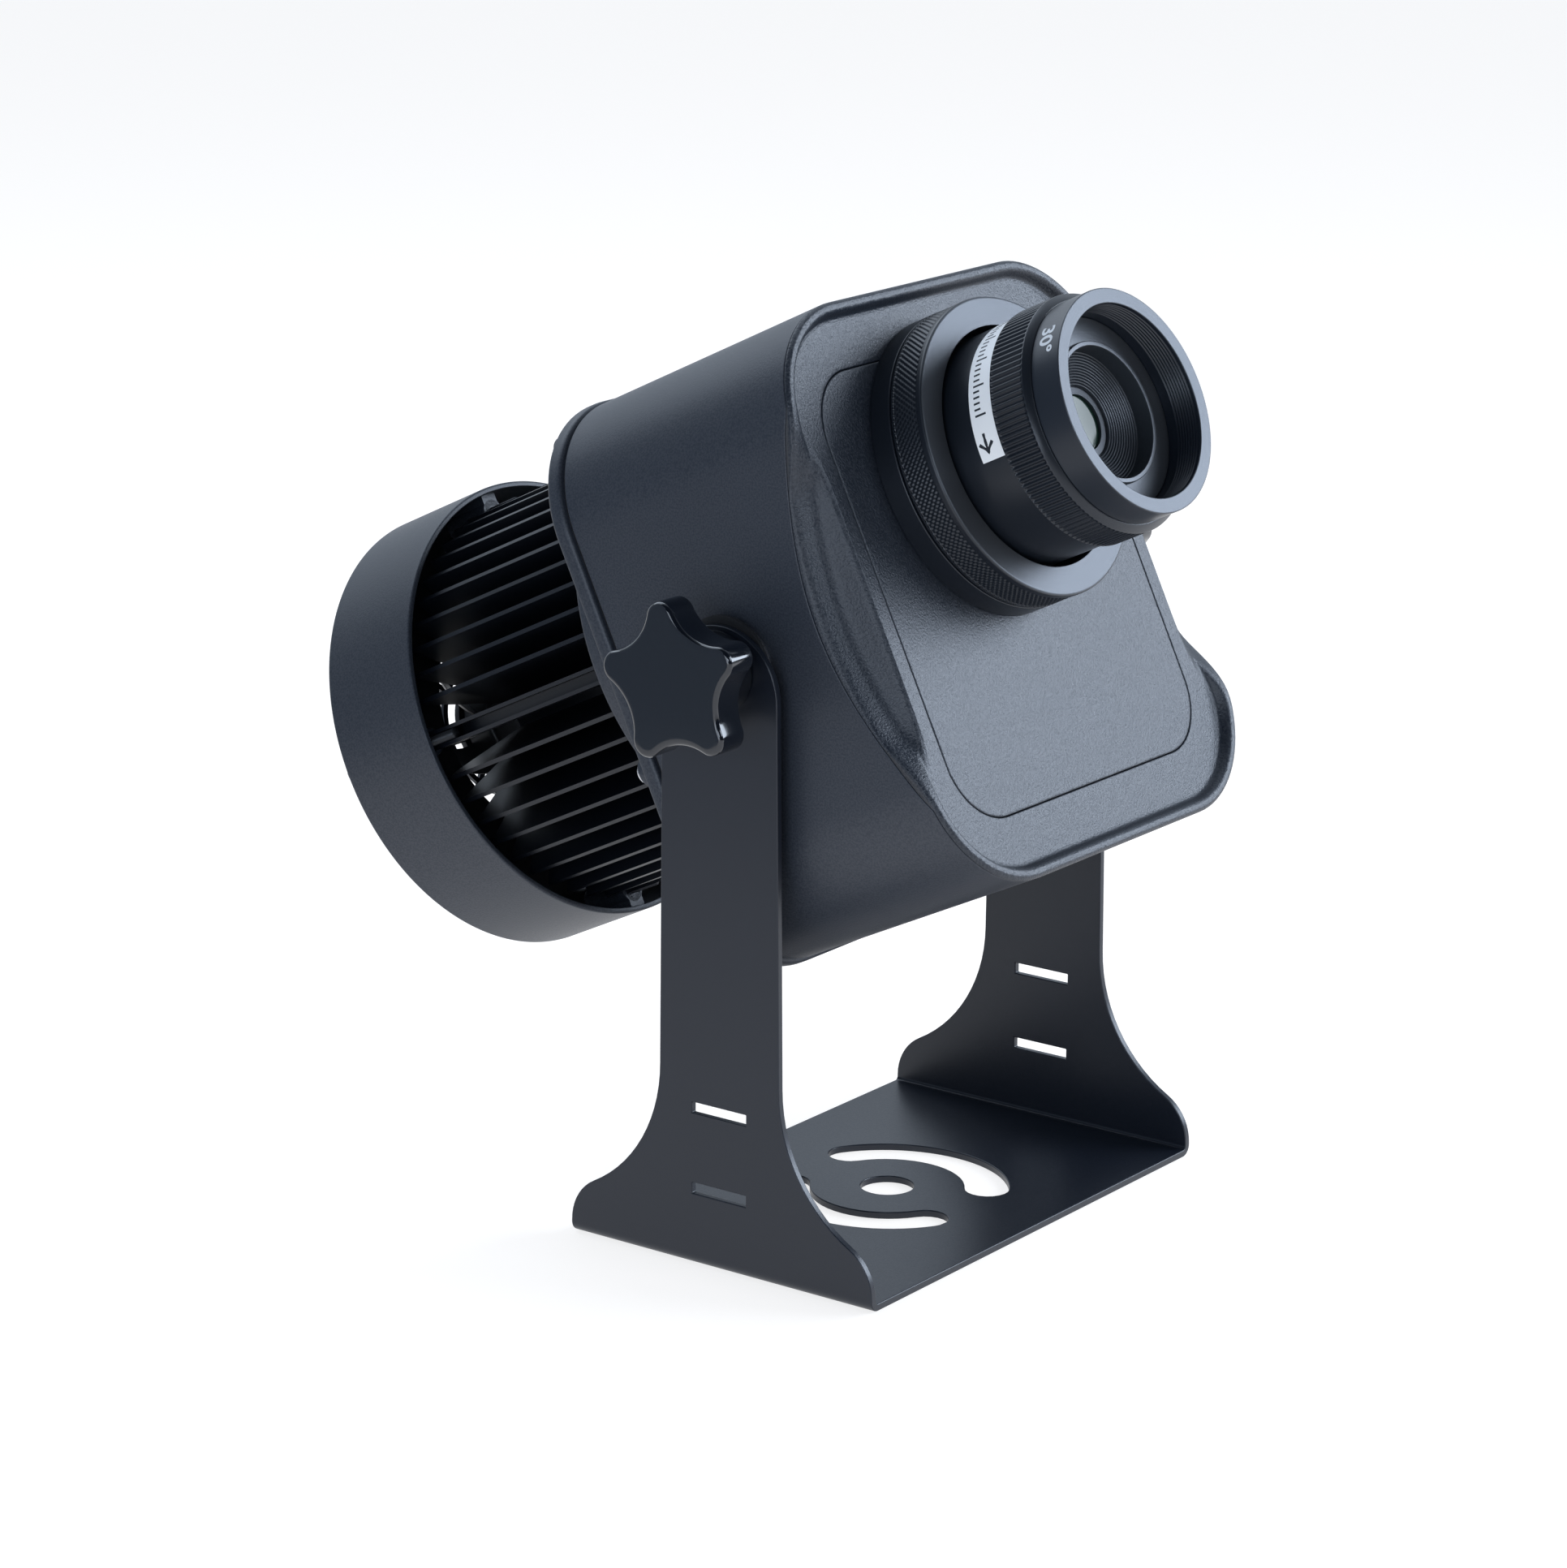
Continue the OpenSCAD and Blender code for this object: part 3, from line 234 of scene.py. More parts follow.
def lay_floor():
    """A round pale floor: rings of points about the base, far wider than the view."""
    turns = np.linspace(0, 2 * np.pi, 96, endpoint=False)
    radii = np.array([0.0, 0.6, 1.5, 9.0])
    gap = 0.2 * MM
    grid = np.stack([
        radii[:, None] * np.cos(turns),
        radii[:, None] * np.sin(turns),
        np.full((len(radii), len(turns)), -gap)], -1)
    floor = make_piece("floor", [shell(grid)])
    if floor.data.polygons[0].normal.z < 0:
        floor.data.flip_normals()
    paper = make_finish("floor_paper", (0.33, 0.30, 0.275), 0.75, mottle=0.01)
    make_glow(paper, (0.985, 0.99, 1), 0.8)
    floor.data.materials.append(paper)


def stand_card(name, middle, half_across, height, colour):
    """An upright card, square to the line from the projector to its middle.

    It is seen only as a reflection, so that it hides nothing from any side.
    """
    middle = np.array([*middle, 0.0])
    across = np.array([-middle[1], middle[0], 0]) / np.linalg.norm(middle) * half_across
    up = np.array([0, 0, height])
    grid = np.stack([np.stack([middle - across, middle + across]),
                     np.stack([middle - across + up, middle + across + up])])
    card = make_piece(name, [(grid, grid_faces(2, 2, False, False))])
    paper = make_finish(name, (0.02, 0.02, 0.02), 0.8, mottle=0.01)
    make_glow(paper, colour, 1)
    card.data.materials.append(paper)
    card.visible_camera = False


# Mesh helpers


def grid_faces(rows, cols, wrap_rows, wrap_cols):
    """The four-cornered faces of a grid of points, joined end to end where it wraps."""
    row = np.arange(rows if wrap_rows else rows - 1)[:, None]
    col = np.arange(cols if wrap_cols else cols - 1)[None, :]
    next_row = (row + 1) % rows
    next_col = (col + 1) % cols
    corners = [row * cols + col, row * cols + next_col, next_row * cols + next_col, next_row * cols + col]
    return np.stack(np.broadcast_arrays(*corners), -1).reshape(-1, 4)


def make_piece(name, shells, sharp_deg=None):
    """One object from several shells, each a pair of points and four-cornered faces.

    It is shaded smooth, apart from edges of more than sharp_deg where that is given.
    """
    grids = [grid.reshape(-1, 3) for grid, _ in shells]
    points = np.concatenate(grids)
    starts = np.cumsum([0] + [len(grid) for grid in grids[:-1]])
    faces = np.concatenate([corners + start for (_, corners), start in zip(shells, starts)])
    mesh = bpy.data.meshes.new(name)
    mesh.vertices.add(len(points))
    mesh.vertices.foreach_set("co", points.astype(np.float32).ravel())
    mesh.loops.add(faces.size)
    mesh.loops.foreach_set("vertex_index", faces.astype(np.int32).ravel())
    mesh.polygons.add(len(faces))
    mesh.polygons.foreach_set("loop_start", np.arange(0, faces.size, 4, dtype=np.int32))
    mesh.update(calc_edges=True)
    merged = bmesh.new()
    merged.from_mesh(mesh)
    bmesh.ops.remove_doubles(merged, verts=merged.verts, dist=2e-7)
    bmesh.ops.recalc_face_normals(merged, faces=merged.faces)
    merged.to_mesh(mesh)
    merged.free()
    mesh.shade_smooth()
    if sharp_deg:
        mesh.set_sharp_from_angle(angle=math.radians(sharp_deg))
    return add_object(name, mesh)


def eased(outline, radius, closed=True):
    """An outline with each corner eased: a quadratic curve from radius before it to radius after it.

    radius is one number, or one for each corner. A holding point stands at each end of a curve,
    so that the flats beside it stay flat in the shading.
    """
    steps = 5
    corners = np.asarray(outline, float)
    radii = np.broadcast_to(np.asarray(radius, float), len(corners))[:, None]
    before = np.roll(corners, 1, 0) - corners
    after = np.roll(corners, -1, 0) - corners
    before_l = np.linalg.norm(before, axis=1, keepdims=True)
    after_l = np.linalg.norm(after, axis=1, keepdims=True)
    reach = np.minimum(radii, 0.4 * np.minimum(before_l, after_l))
    hold = np.minimum(1.7 * reach, 0.48 * np.minimum(before_l, after_l))
    start = corners + before / before_l * reach
    end = corners + after / after_l * reach
    t = np.linspace(0, 1, steps)[None, :, None]
    curve = (1 - t) ** 2 * start[:, None] + 2 * t * (1 - t) * corners[:, None] + t ** 2 * end[:, None]
    held = np.concatenate([
        (corners + before / before_l * hold)[:, None], curve, (corners + after / after_l * hold)[:, None]], 1)
    if closed:
        return held.reshape(-1, 2)
    return np.concatenate([corners[:1], held[1:-1].reshape(-1, 2), corners[-1:]])


def turned_grid(profile, axis_h, steps=256, ripple=None):
    """A profile of (s, r) carried round the axis at axis_h: y = -r cos a, h = axis_h + r sin a.

    ripple(s, r, a) gives how far each point is moved out from the axis.
    """
    a = np.linspace(0, 2 * np.pi, steps, endpoint=False)[None, :]
    s = profile[:, :1] + 0 * a
    r = profile[:, 1:] + 0 * a
    if ripple is not None:
        r = r + ripple(s, r, a + 0 * s)
    return np.stack([s, -r * np.cos(a), axis_h + r * np.sin(a)], -1)


def shell(grid, closed=False):
    """A grid of points that goes round along its columns, with its faces. Closed, its rows do too."""
    return grid, grid_faces(*grid.shape[:2], closed, True)


def turned_shell(profile, axis_h, steps=256, closed=True, ripple=None):
    """A turned profile in the part's axes, with its faces."""
    return shell(place_head(turned_grid(np.asarray(profile, float), axis_h, steps, ripple)), closed)


def spline(points, steps):
    """A smooth curve through points: each stretch is a cubic whose slopes are its neighbours'."""
    p = np.asarray(points, float)
    padded = np.concatenate([2 * p[:1] - p[1:2], p, 2 * p[-1:] - p[-2:-1]])
    a, b, c, d = padded[:-3, None], padded[1:-2, None], padded[2:-1, None], padded[3:, None]
    t = np.linspace(0, 1, steps, endpoint=False)[None, :, None]
    square = (2 * a - 5 * b + 4 * c - d) * t ** 2
    cube = (3 * b - a - 3 * c + d) * t ** 3
    curve = 0.5 * (2 * b + (c - a) * t + square + cube)
    return np.concatenate([curve.reshape(-1, p.shape[1]), p[-1:]])


def settle(piece, body, slot, finish, *nodes):
    """Gives a finished piece its body and its material, and hides the nodes that it stands for. slot is not
    used.
    """
    piece.data.materials.clear()
    piece.data.materials.append(finish)
    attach(piece, body)
    if nodes:
        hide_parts(*nodes)


# Finishes


def make_finish(name, colour, roughness, metallic=0.0, grain=0.0, depth=0.0, mottle=0.06,
                rough_spread=0.0, coat=0.0, specular=0.5, sparkle=0.0, lathe=False):
    """Paint, metal or plastic with mottled colour, a grain in its roughness and a fine bump.

    grain is the size of the grain in millimetres and depth its height. sparkle is how far the grain
    spreads the shine about specular. lathe draws the grain out into rings round the lens axis, as a
    turning tool leaves it.
    """
    material = bpy.data.materials.new(name)
    material.use_nodes = True
    nodes, links = material.node_tree.nodes, material.node_tree.links
    shader = nodes["Principled BSDF"]
    set_inputs(shader, {"Metallic": metallic, "Roughness": roughness, "Specular IOR Level": specular,
                        "Specular Tint": (0.89, 0.925, 1.0, 1), "Coat Weight": coat, "Coat Roughness": 0.06})
    coords = nodes.new("ShaderNodeTexCoord")
    cloud = nodes.new("ShaderNodeTexNoise")
    set_inputs(cloud, {"Scale": 55, "Detail": 5})
    links.new(coords.outputs["Object"], cloud.inputs["Vector"])
    mix = nodes.new("ShaderNodeMix")
    mix.data_type = "RGBA"
    set_inputs(mix, {"A": (*[c * (1 - mottle) for c in colour], 1),
                     "B": (*[min(1, c * (1 + mottle)) for c in colour], 1)})
    links.new(cloud.outputs["Fac"], mix.inputs["Factor"])
    links.new(mix.outputs["Result"], shader.inputs["Base Color"])
    if not grain:
        return material

    def spread_speck(low, high, middle, reach, name):
        """Feeds the shader's input with middle, reach less or more as the speck goes from low to high."""
        spread = nodes.new("ShaderNodeMapRange")
        set_inputs(spread, {"From Min": low, "From Max": high, "To Min": middle - reach,
                            "To Max": middle + reach})
        links.new(speck.outputs["Fac"], spread.inputs["Value"])
        links.new(spread.outputs["Result"], shader.inputs[name])

    speck = nodes.new("ShaderNodeTexNoise")
    set_inputs(speck, {"Scale": 1 / (grain * MM), "Detail": 2, "Roughness": 0.65})
    if lathe:
        links.new(lathe_coords(nodes, links, coords), speck.inputs["Vector"])
    else:
        links.new(coords.outputs["Object"], speck.inputs["Vector"])
    if rough_spread:
        spread_speck(0.3, 0.7, roughness, rough_spread, "Roughness")
    if sparkle:
        spread_speck(0.4, 0.6, specular, sparkle, "Specular IOR Level")
    bump = nodes.new("ShaderNodeBump")
    set_inputs(bump, {"Strength": 1, "Distance": depth * MM})
    links.new(speck.outputs["Fac"], bump.inputs["Height"])
    links.new(bump.outputs["Normal"], shader.inputs["Normal"])
    return material


def lathe_coords(nodes, links, coords):
    """Coordinates that vary with s and with the distance from the lens axis, and hardly round it."""
    centred = nodes.new("ShaderNodeMapping")
    centred.vector_type = "TEXTURE"
    lens_middle = place_head(np.array([0.0, 0.0, LENS_H]))
    set_inputs(centred, {"Location": lens_middle, "Rotation": (0, -HEAD_TILT, 0)})
    links.new(coords.outputs["Object"], centred.inputs["Vector"])
    split = nodes.new("ShaderNodeSeparateXYZ")
    links.new(centred.outputs["Vector"], split.inputs["Vector"])
    flat = nodes.new("ShaderNodeCombineXYZ")
    links.new(split.outputs["Y"], flat.inputs["X"])
    links.new(split.outputs["Z"], flat.inputs["Y"])
    length = nodes.new("ShaderNodeVectorMath")
    length.operation = "LENGTH"
    links.new(flat.outputs["Vector"], length.inputs[0])
    rings = nodes.new("ShaderNodeCombineXYZ")
    links.new(split.outputs["X"], rings.inputs["X"])
    links.new(length.outputs["Value"], rings.inputs["Y"])
    return rings.outputs["Vector"]


def make_glass(name, colour, ior, roughness, clear=0.9, coat=1):
    """Glass that lets clear of the light through, under a coating that adds its own reflection."""
    material = bpy.data.materials.new(name)
    material.use_nodes = True
    shader = material.node_tree.nodes["Principled BSDF"]
    set_inputs(shader, {"Base Color": (*colour, 1), "Roughness": roughness, "IOR": ior,
                        "Transmission Weight": clear, "Coat Weight": coat, "Coat Roughness": 0.02})
    return material


SATIN_BLACK = make_finish("satin_black", (0.006, 0.0085, 0.015), 0.34, grain=0.5, depth=0.02,
                          rough_spread=0.04)
CHARCOAL = make_finish("charcoal_powder", (0.021, 0.026, 0.037), 0.44, grain=0.6, depth=0.06,
                       rough_spread=0.08, specular=0.52, sparkle=0.13)
SANDY = make_finish("sandy_cover", (0.010, 0.014, 0.022), 0.43, grain=0.75, depth=0.2,
                    rough_spread=0.14, specular=0.62, sparkle=0.15)
ANODISED = make_finish("anodised_black", (0.007, 0.0095, 0.0145), 0.33, grain=0.2, depth=0.006,
                       rough_spread=0.05)
LATHED = make_finish("lathed_black", (0.008, 0.0115, 0.0185), 0.34, grain=0.16, depth=0.02, lathe=True)
BAFFLE = make_finish("baffle_black", (0.03, 0.036, 0.045), 0.34, specular=0.8, mottle=0.02)
# A lighter copy of the lathed black, for faces that look ahead: a painted highlight.
LATHED_PAINTED_HIGHLIGHT = make_finish("lathed_painted_highlight", (0.05, 0.055, 0.064), 0.36, metallic=0.5, grain=0.16,
                          depth=0.03, lathe=True)
SINK_BLACK = make_finish("sink_black", (0.0015, 0.0025, 0.005), 0.36, grain=0.3, depth=0.01)
GLOSS_BLACK = make_finish("gloss_black", (0.003, 0.0045, 0.008), 0.12, grain=0.9, depth=0.004, coat=0.5)
STEEL = make_finish("stainless", (0.62, 0.63, 0.65), 0.28, metallic=1.0, grain=0.2, depth=0.008,
                    rough_spread=0.05)
BLACK_STEEL = make_finish("black_steel", (0.02, 0.022, 0.026), 0.38, metallic=0.4, grain=0.2, depth=0.008)
NYLON = make_finish("nylon", (0.012, 0.0125, 0.014), 0.5, grain=0.3, depth=0.02)
SEAL = make_finish("seal_rubber", (0.006, 0.0062, 0.0068), 0.75, grain=0.25, depth=0.02)
FAN_PLASTIC = make_finish("fan_plastic", (0.008, 0.0085, 0.0095), 0.42, grain=0.4, depth=0.015)
COPPER = make_finish("copper", (0.72, 0.31, 0.17), 0.3, metallic=1.0, grain=0.2, depth=0.01)
BOARD = make_finish("board_white", (0.75, 0.77, 0.74), 0.4, grain=0.5, depth=0.006)
PLAIN_METAL = make_finish("plain_metal", (0.55, 0.56, 0.58), 0.35, metallic=1.0, grain=0.25, depth=0.01)
LABEL_WHITE = make_finish("label_white", (0.90, 0.92, 0.95), 0.42, grain=0.5, depth=0.004, mottle=0.02)
PRINT_BLACK = make_finish("print_black", (0.012, 0.015, 0.022), 0.5, mottle=0.05)
PRINT_WHITE = make_finish("print_white", (0.72, 0.75, 0.8), 0.5, mottle=0.03)
LENS_GLASS = make_glass("lens_glass", (0.86, 0.97, 0.93), 1.52, 0.02)
FRONT_GLASS = make_glass("front_glass", (0.02, 0.05, 0.038), 1.38, 0.1, clear=0.12, coat=0)
GOBO_GLASS = make_glass("gobo_glass", (0.5, 0.72, 0.8), 1.5, 0.05)

CAD_FINISHES = {
    "stud_right": STEEL, "stud_left": STEEL, "pivot_bosses": PLAIN_METAL, "friction_washers": NYLON,
    "front_gasket": SEAL, "rear_gasket": SEAL, "cable_gland": NYLON,
    "heat_sink": SINK_BLACK, "rear_grille": SATIN_BLACK, "fan_frame": FAN_PLASTIC,
    "heat_spreader": COPPER, "led_board": BOARD, "condenser_barrel": ANODISED,
    "condenser_lens_rear": LENS_GLASS, "condenser_spacer": ANODISED, "condenser_lens_front": LENS_GLASS,
    "gobo_holder": ANODISED, "gobo_glass": GOBO_GLASS, "gobo_clip": STEEL, "driver_bracket": PLAIN_METAL,
    "driver_box": PLAIN_METAL, "mount_nut": ANODISED, "rear_lens": LENS_GLASS, "lens_retainer": ANODISED}


def finish_cad_nodes():
    """Gives its material to each CAD node that no new piece replaces."""
    for node, finish in CAD_FINISHES.items():
        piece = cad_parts[node]
        if not piece.material_slots:
            piece.data.materials.append(None)
        for slot in piece.material_slots:
            slot.material = finish


# Yoke


def dress_yoke():
    """The base and both arms as the one bent sheet that they are, with its cut edges broken.

    The copies are joined where they meet, at |y| = BEND_Y, and the faces on that joint are taken out.
    """
    nodes = ("yoke_base", "yoke_arm_right", "yoke_arm_left")
    touching = 0.002 * MM
    mesh = bpy.data.meshes.new("yoke_sheet")
    merged = bmesh.new()
    for node in nodes:
        merged.from_mesh(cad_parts[node].data)
    joint = [face for face in merged.faces if abs(face.normal.y) > 0.5
             and all(abs(abs(vert.co.y) - BEND_Y * MM) < touching for vert in face.verts)]
    bmesh.ops.delete(merged, geom=joint, context="FACES")
    bmesh.ops.remove_doubles(merged, verts=merged.verts, dist=touching)
    bmesh.ops.dissolve_limit(merged, angle_limit=math.radians(0.6), verts=merged.verts, edges=merged.edges)
    merged.to_mesh(mesh)
    merged.free()
    mesh.shade_smooth()
    mesh.set_sharp_from_angle(angle=math.radians(35))
    piece = add_object("yoke_sheet", mesh)
    bevel = piece.modifiers.new("broken_edges", "BEVEL")
    bevel.width = 0.38 * MM
    bevel.segments = 3
    bevel.limit_method = "ANGLE"
    bevel.angle_limit = math.radians(40)
    bevel.harden_normals = True
    settle(piece, "yoke", "bracket", SATIN_BLACK, *nodes)


# Knobs


def star_outline():
    """Star of round lobes and hollow curves: arcs that touch, each point with its outward normal.

    The hollow's radius follows from the two circles' distance, which is the sum of their radii.
    """
    knob_r, valley_r, lobe_r = 24.9, 17.6, 5.0
    steps_lobe, steps_valley = 18, 16
    half = math.pi / KNOB_LOBES
    lobe_mid = knob_r - lobe_r
    dot = lobe_mid * math.cos(half)
    square = lobe_mid ** 2 + valley_r ** 2 - 2 * valley_r * dot - lobe_r ** 2
    arc_r = square / (2 * (lobe_r - valley_r + dot))
    valley_mid = valley_r + arc_r
    end = math.atan2(valley_mid * math.sin(half), valley_mid * math.cos(half) - lobe_mid)
    lobe_t = np.linspace(-end, end, steps_lobe, endpoint=False)
    valley_t = np.linspace(math.pi + end, 2 * half + math.pi - end, steps_valley, endpoint=False)
    lobe = np.stack([lobe_mid + lobe_r * np.cos(lobe_t), lobe_r * np.sin(lobe_t)], -1)
    lobe_out = np.stack([np.cos(lobe_t), np.sin(lobe_t)], -1)
    mid = valley_mid * np.array([math.cos(half), math.sin(half)])
    valley = mid + arc_r * np.stack([np.cos(valley_t), np.sin(valley_t)], -1)
    valley_out = -np.stack([np.cos(valley_t), np.sin(valley_t)], -1)
    point = np.concatenate([lobe, valley])
    outward = np.concatenate([lobe_out, valley_out])
    turn = 2 * half * np.arange(KNOB_LOBES) + KNOB_PHASE
    cos, sin = np.cos(turn), np.sin(turn)
    spin = np.stack([np.stack([cos, -sin], -1), np.stack([sin, cos], -1)], 1)
    return (np.einsum("kij,nj->kni", spin, point).reshape(-1, 2),
            np.einsum("kij,nj->kni", spin, outward).reshape(-1, 2))


def dress_knob(name, side, body, node):
    """The star carried through its thickness: set in by an elliptic quarter at both edges."""
    point, outward = star_outline()
    edge = 1.5
    t = np.linspace(0, np.pi / 2, 9)
    face = np.stack([KNOB_FACE_Y - edge * (1 - np.cos(t)), edge * (1 - np.sin(t))], -1)
    back_y = KNOB_FACE_Y - KNOB_T
    back = np.stack([back_y + edge * (1 - np.sin(t)), edge * (1 - np.cos(t))], -1)
    wall = np.concatenate([face, back])
    ring = point[None] - wall[:, 1, None, None] * outward[None]
    y = side * wall[:, 0][:, None] + 0 * ring[..., 0]
    shares = np.array([0.0, 0.45, 0.8, 0.93])[:, None, None]
    face_in = shares * ring[:1]
    face_y = np.full(face_in.shape[:2], side * KNOB_FACE_Y)
    back_in = shares[::-1] * ring[-1:]
    back_in_y = np.full(back_in.shape[:2], side * back_y)
    flat = np.concatenate([face_in, ring, back_in])
    across = np.concatenate([face_y, y, back_in_y])
    star = place_pivot(np.stack([across, flat[..., 0], flat[..., 1]], -1))
    hub_r, stud_hole_r, hub_end = 12.5, 4.0, ARM_OUT + 0.1
    hub = eased([(back_y + 1, hub_r), (hub_end, hub_r), (hub_end, stud_hole_r), (back_y + 1, stud_hole_r)],
                0.5)
    turns = np.linspace(0, 2 * np.pi, 96, endpoint=False)
    hub_grid = place_pivot(np.stack([
        side * hub[:, :1] + 0 * turns, hub[:, 1:] * np.cos(turns), hub[:, 1:] * np.sin(turns)], -1))
    settle(make_piece(name, [shell(star), shell(hub_grid, True)]), body, "knob", GLOSS_BLACK, node)


# Housing


def housing_nodes(w=HOUSING_W / 2, t=HOUSING_H / 2, r=CORNER_R):
    """Points round a rounded rectangle with their outward normals: four flats and four quarter arcs."""
    side_n, corner_n, top_n = 56, 22, 20
    cy, ch = w - r, t - r
    a = np.linspace(0, np.pi / 2, corner_n, endpoint=False)[1:]
    side = np.linspace(-1, 1, side_n + 1)
    top = np.linspace(1, -1, top_n + 1)
    parts = []
    for turn, run, flat in ((0, side, (1, 0)), (1, top, (0, 1)), (2, -side, (-1, 0)), (3, -top, (0, -1))):
        if flat[0]:
            parts.append(np.stack([flat[0] * w + 0 * run, ch * run, flat[0] + 0 * run, 0 * run], -1))
        else:
            parts.append(np.stack([cy * run, flat[1] * t + 0 * run, 0 * run, flat[1] + 0 * run], -1))
        b = a + turn * np.pi / 2
        mid = (cy if turn in (0, 3) else -cy, ch if turn in (0, 1) else -ch)
        parts.append(np.stack([mid[0] + r * np.cos(b), mid[1] + r * np.sin(b), np.cos(b), np.sin(b)], -1))
    nodes = np.concatenate(parts)
    nodes[:, 1] += HOUSING_MID_H
    return nodes


def set_in(nodes, inset, s):
    """Points at the nodes, moved in from the outline by inset, at s."""
    s = s + 0 * nodes[:, 0]
    return np.stack([s, nodes[:, 0] - inset * nodes[:, 2], nodes[:, 1] - inset * nodes[:, 3]], -1)


def seam(h):
    """How far ahead the front joint lies: a quarter cosine from the scoop's middle to its ends."""
    share = np.minimum(np.abs(h - SCOOP_MID_H), SCOOP_HALF_H) / SCOOP_HALF_H
    scoop_s = COVER_FACE_S - SCOOP_DEPTH
    return scoop_s + (SEAM_TOP_S - scoop_s) * (1 - np.cos(np.pi / 2 * share))


def rim_share(h):
    """0 in the scoop and 1 where the cover has its rim, with a smooth step between them."""
    start_h, step_h = 36, 30
    t = np.clip((np.abs(h - SCOOP_MID_H) - start_h) / step_h, 0, 1)
    return t * t * (3 - 2 * t)


def dress_tube():
    """The tube's wall: the outline at the rear joint, carried to the seam and back down inside."""
    nodes = housing_nodes()
    seam_gap, hold = 0.3, 0.8
    front = seam(nodes[:, 1]) - seam_gap
    edge = np.array([0.45, 0.2, 0.05, 0])
    rings = [set_in(nodes, e, TUBE_REAR_S + d) for e, d in zip(edge, edge[::-1])]
    flat_l = front - hold - TUBE_REAR_S - hold
    rings += [set_in(nodes, 0, TUBE_REAR_S + hold + t * flat_l) for t in np.linspace(0, 1, 14)]
    rings += [set_in(nodes, e, front - d) for e, d in zip(edge[::-1], edge)]
    rings += [set_in(nodes, TUBE_WALL, front), set_in(nodes, TUBE_WALL, TUBE_REAR_S)]
    tube = shell(place_head(np.stack(rings)), True)
    settle(make_piece("housing_shell", [tube]), "head", "body", CHARCOAL, "housing_tube")


# The rim's section as (inset, rise over the cover's face), and the scoop's as shares of its width and depth
RIM_CURVE = [(0, 2.2), (0.08, 2.62), (0.8, 3.42), (1.6, 3.6), (2.7, 3.5), (3.55, 2.75), (4.5, 0.62),
             (5.6, 0.06), (6.4, 0)]
SCOOP_CURVE = [(0, 0), (0.04, 0.1), (0.16, 0.19), (0.34, 0.27), (0.52, 0.35), (0.67, 0.48), (0.79, 0.7),
               (0.89, 0.9), (1, 1)]


def dress_cover():
    """The cover's face: rim and scoop profiles blended round the outline, then flat to the panel."""
    nodes = housing_nodes()
    w = rim_share(nodes[:, 1])
    seam_s = seam(nodes[:, 1])
    depth = COVER_FACE_S - seam_s
    rim = spline(RIM_CURVE, 6)
    scoop = spline(SCOOP_CURVE, 6)
    rings = [
        set_in(nodes, w * a + (1 - w) * c * SCOOP_IN, COVER_FACE_S + w * b - (1 - w) * (1 - d) * depth)
        for (a, b), (c, d) in zip(rim, scoop)]
    opening = housing_nodes(w=PANEL_W / 2, t=PANEL_H / 2, r=PANEL_CORNER_R)
    last = rings[-1]
    edge = set_in(opening, 0, COVER_FACE_S)
    rings += [last + t * (edge - last) for t in (0.03, 0.3, 0.6, 0.9)]
    ledge_s, ledge_w, inside_s = COVER_FACE_S - PANEL_T, 5, 40
    ledge = [(-0.35, COVER_FACE_S), (-0.1, COVER_FACE_S - 0.08), (0, COVER_FACE_S - 0.35), (0, ledge_s),
             (ledge_w, ledge_s), (ledge_w, inside_s)]
    rings += [set_in(opening, inset, s) for inset, s in ledge]
    spigot_s, spigot_in, spigot_inner_in = 28, 2.8, 9
    spigot = [(spigot_inner_in, inside_s), (spigot_inner_in, spigot_s), (spigot_in, spigot_s),
              (spigot_in, seam_s), (0, seam_s)]
    rings += [set_in(nodes, inset, s) for inset, s in spigot]
    cover = shell(place_head(np.stack(rings)), True)
    settle(make_piece("cover_casting", [cover]), "head", "cover", SANDY, "front_cover")


def round_node_points(nodes, r, mid_h, s):
    """The nodes' directions from the middle, put on a circle of radius r at s."""
    a = np.arctan2(nodes[:, 1] - mid_h, nodes[:, 0])
    return np.stack([s + 0 * a, r * np.cos(a), mid_h + r * np.sin(a)], -1)


def dress_panel():
    """The panel: its outline, eased at the front, carried in to the lens hole."""
    nodes = housing_nodes(w=PANEL_W / 2, t=PANEL_H / 2, r=PANEL_CORNER_R)
    hole = round_node_points(nodes, GUIDE_R + 0.1, LENS_H, COVER_FACE_S)
    start = set_in(nodes, PANEL_JOINT + 0.8, COVER_FACE_S)
    edge = [(0, PANEL_T), (0, 0.35), (0.1, 0.1), (0.35, 0)]
    rings = [set_in(nodes, PANEL_JOINT + inset, COVER_FACE_S - back) for inset, back in edge]
    rings += [start + t * (hole - start) for t in np.linspace(0, 1, 8)]
    rings += [hole - np.array([PANEL_T, 0, 0])]
    panel = shell(place_head(np.stack(rings)), True)
    settle(make_piece("panel_plate", [panel]), "head", "cover", SANDY, "front_panel")


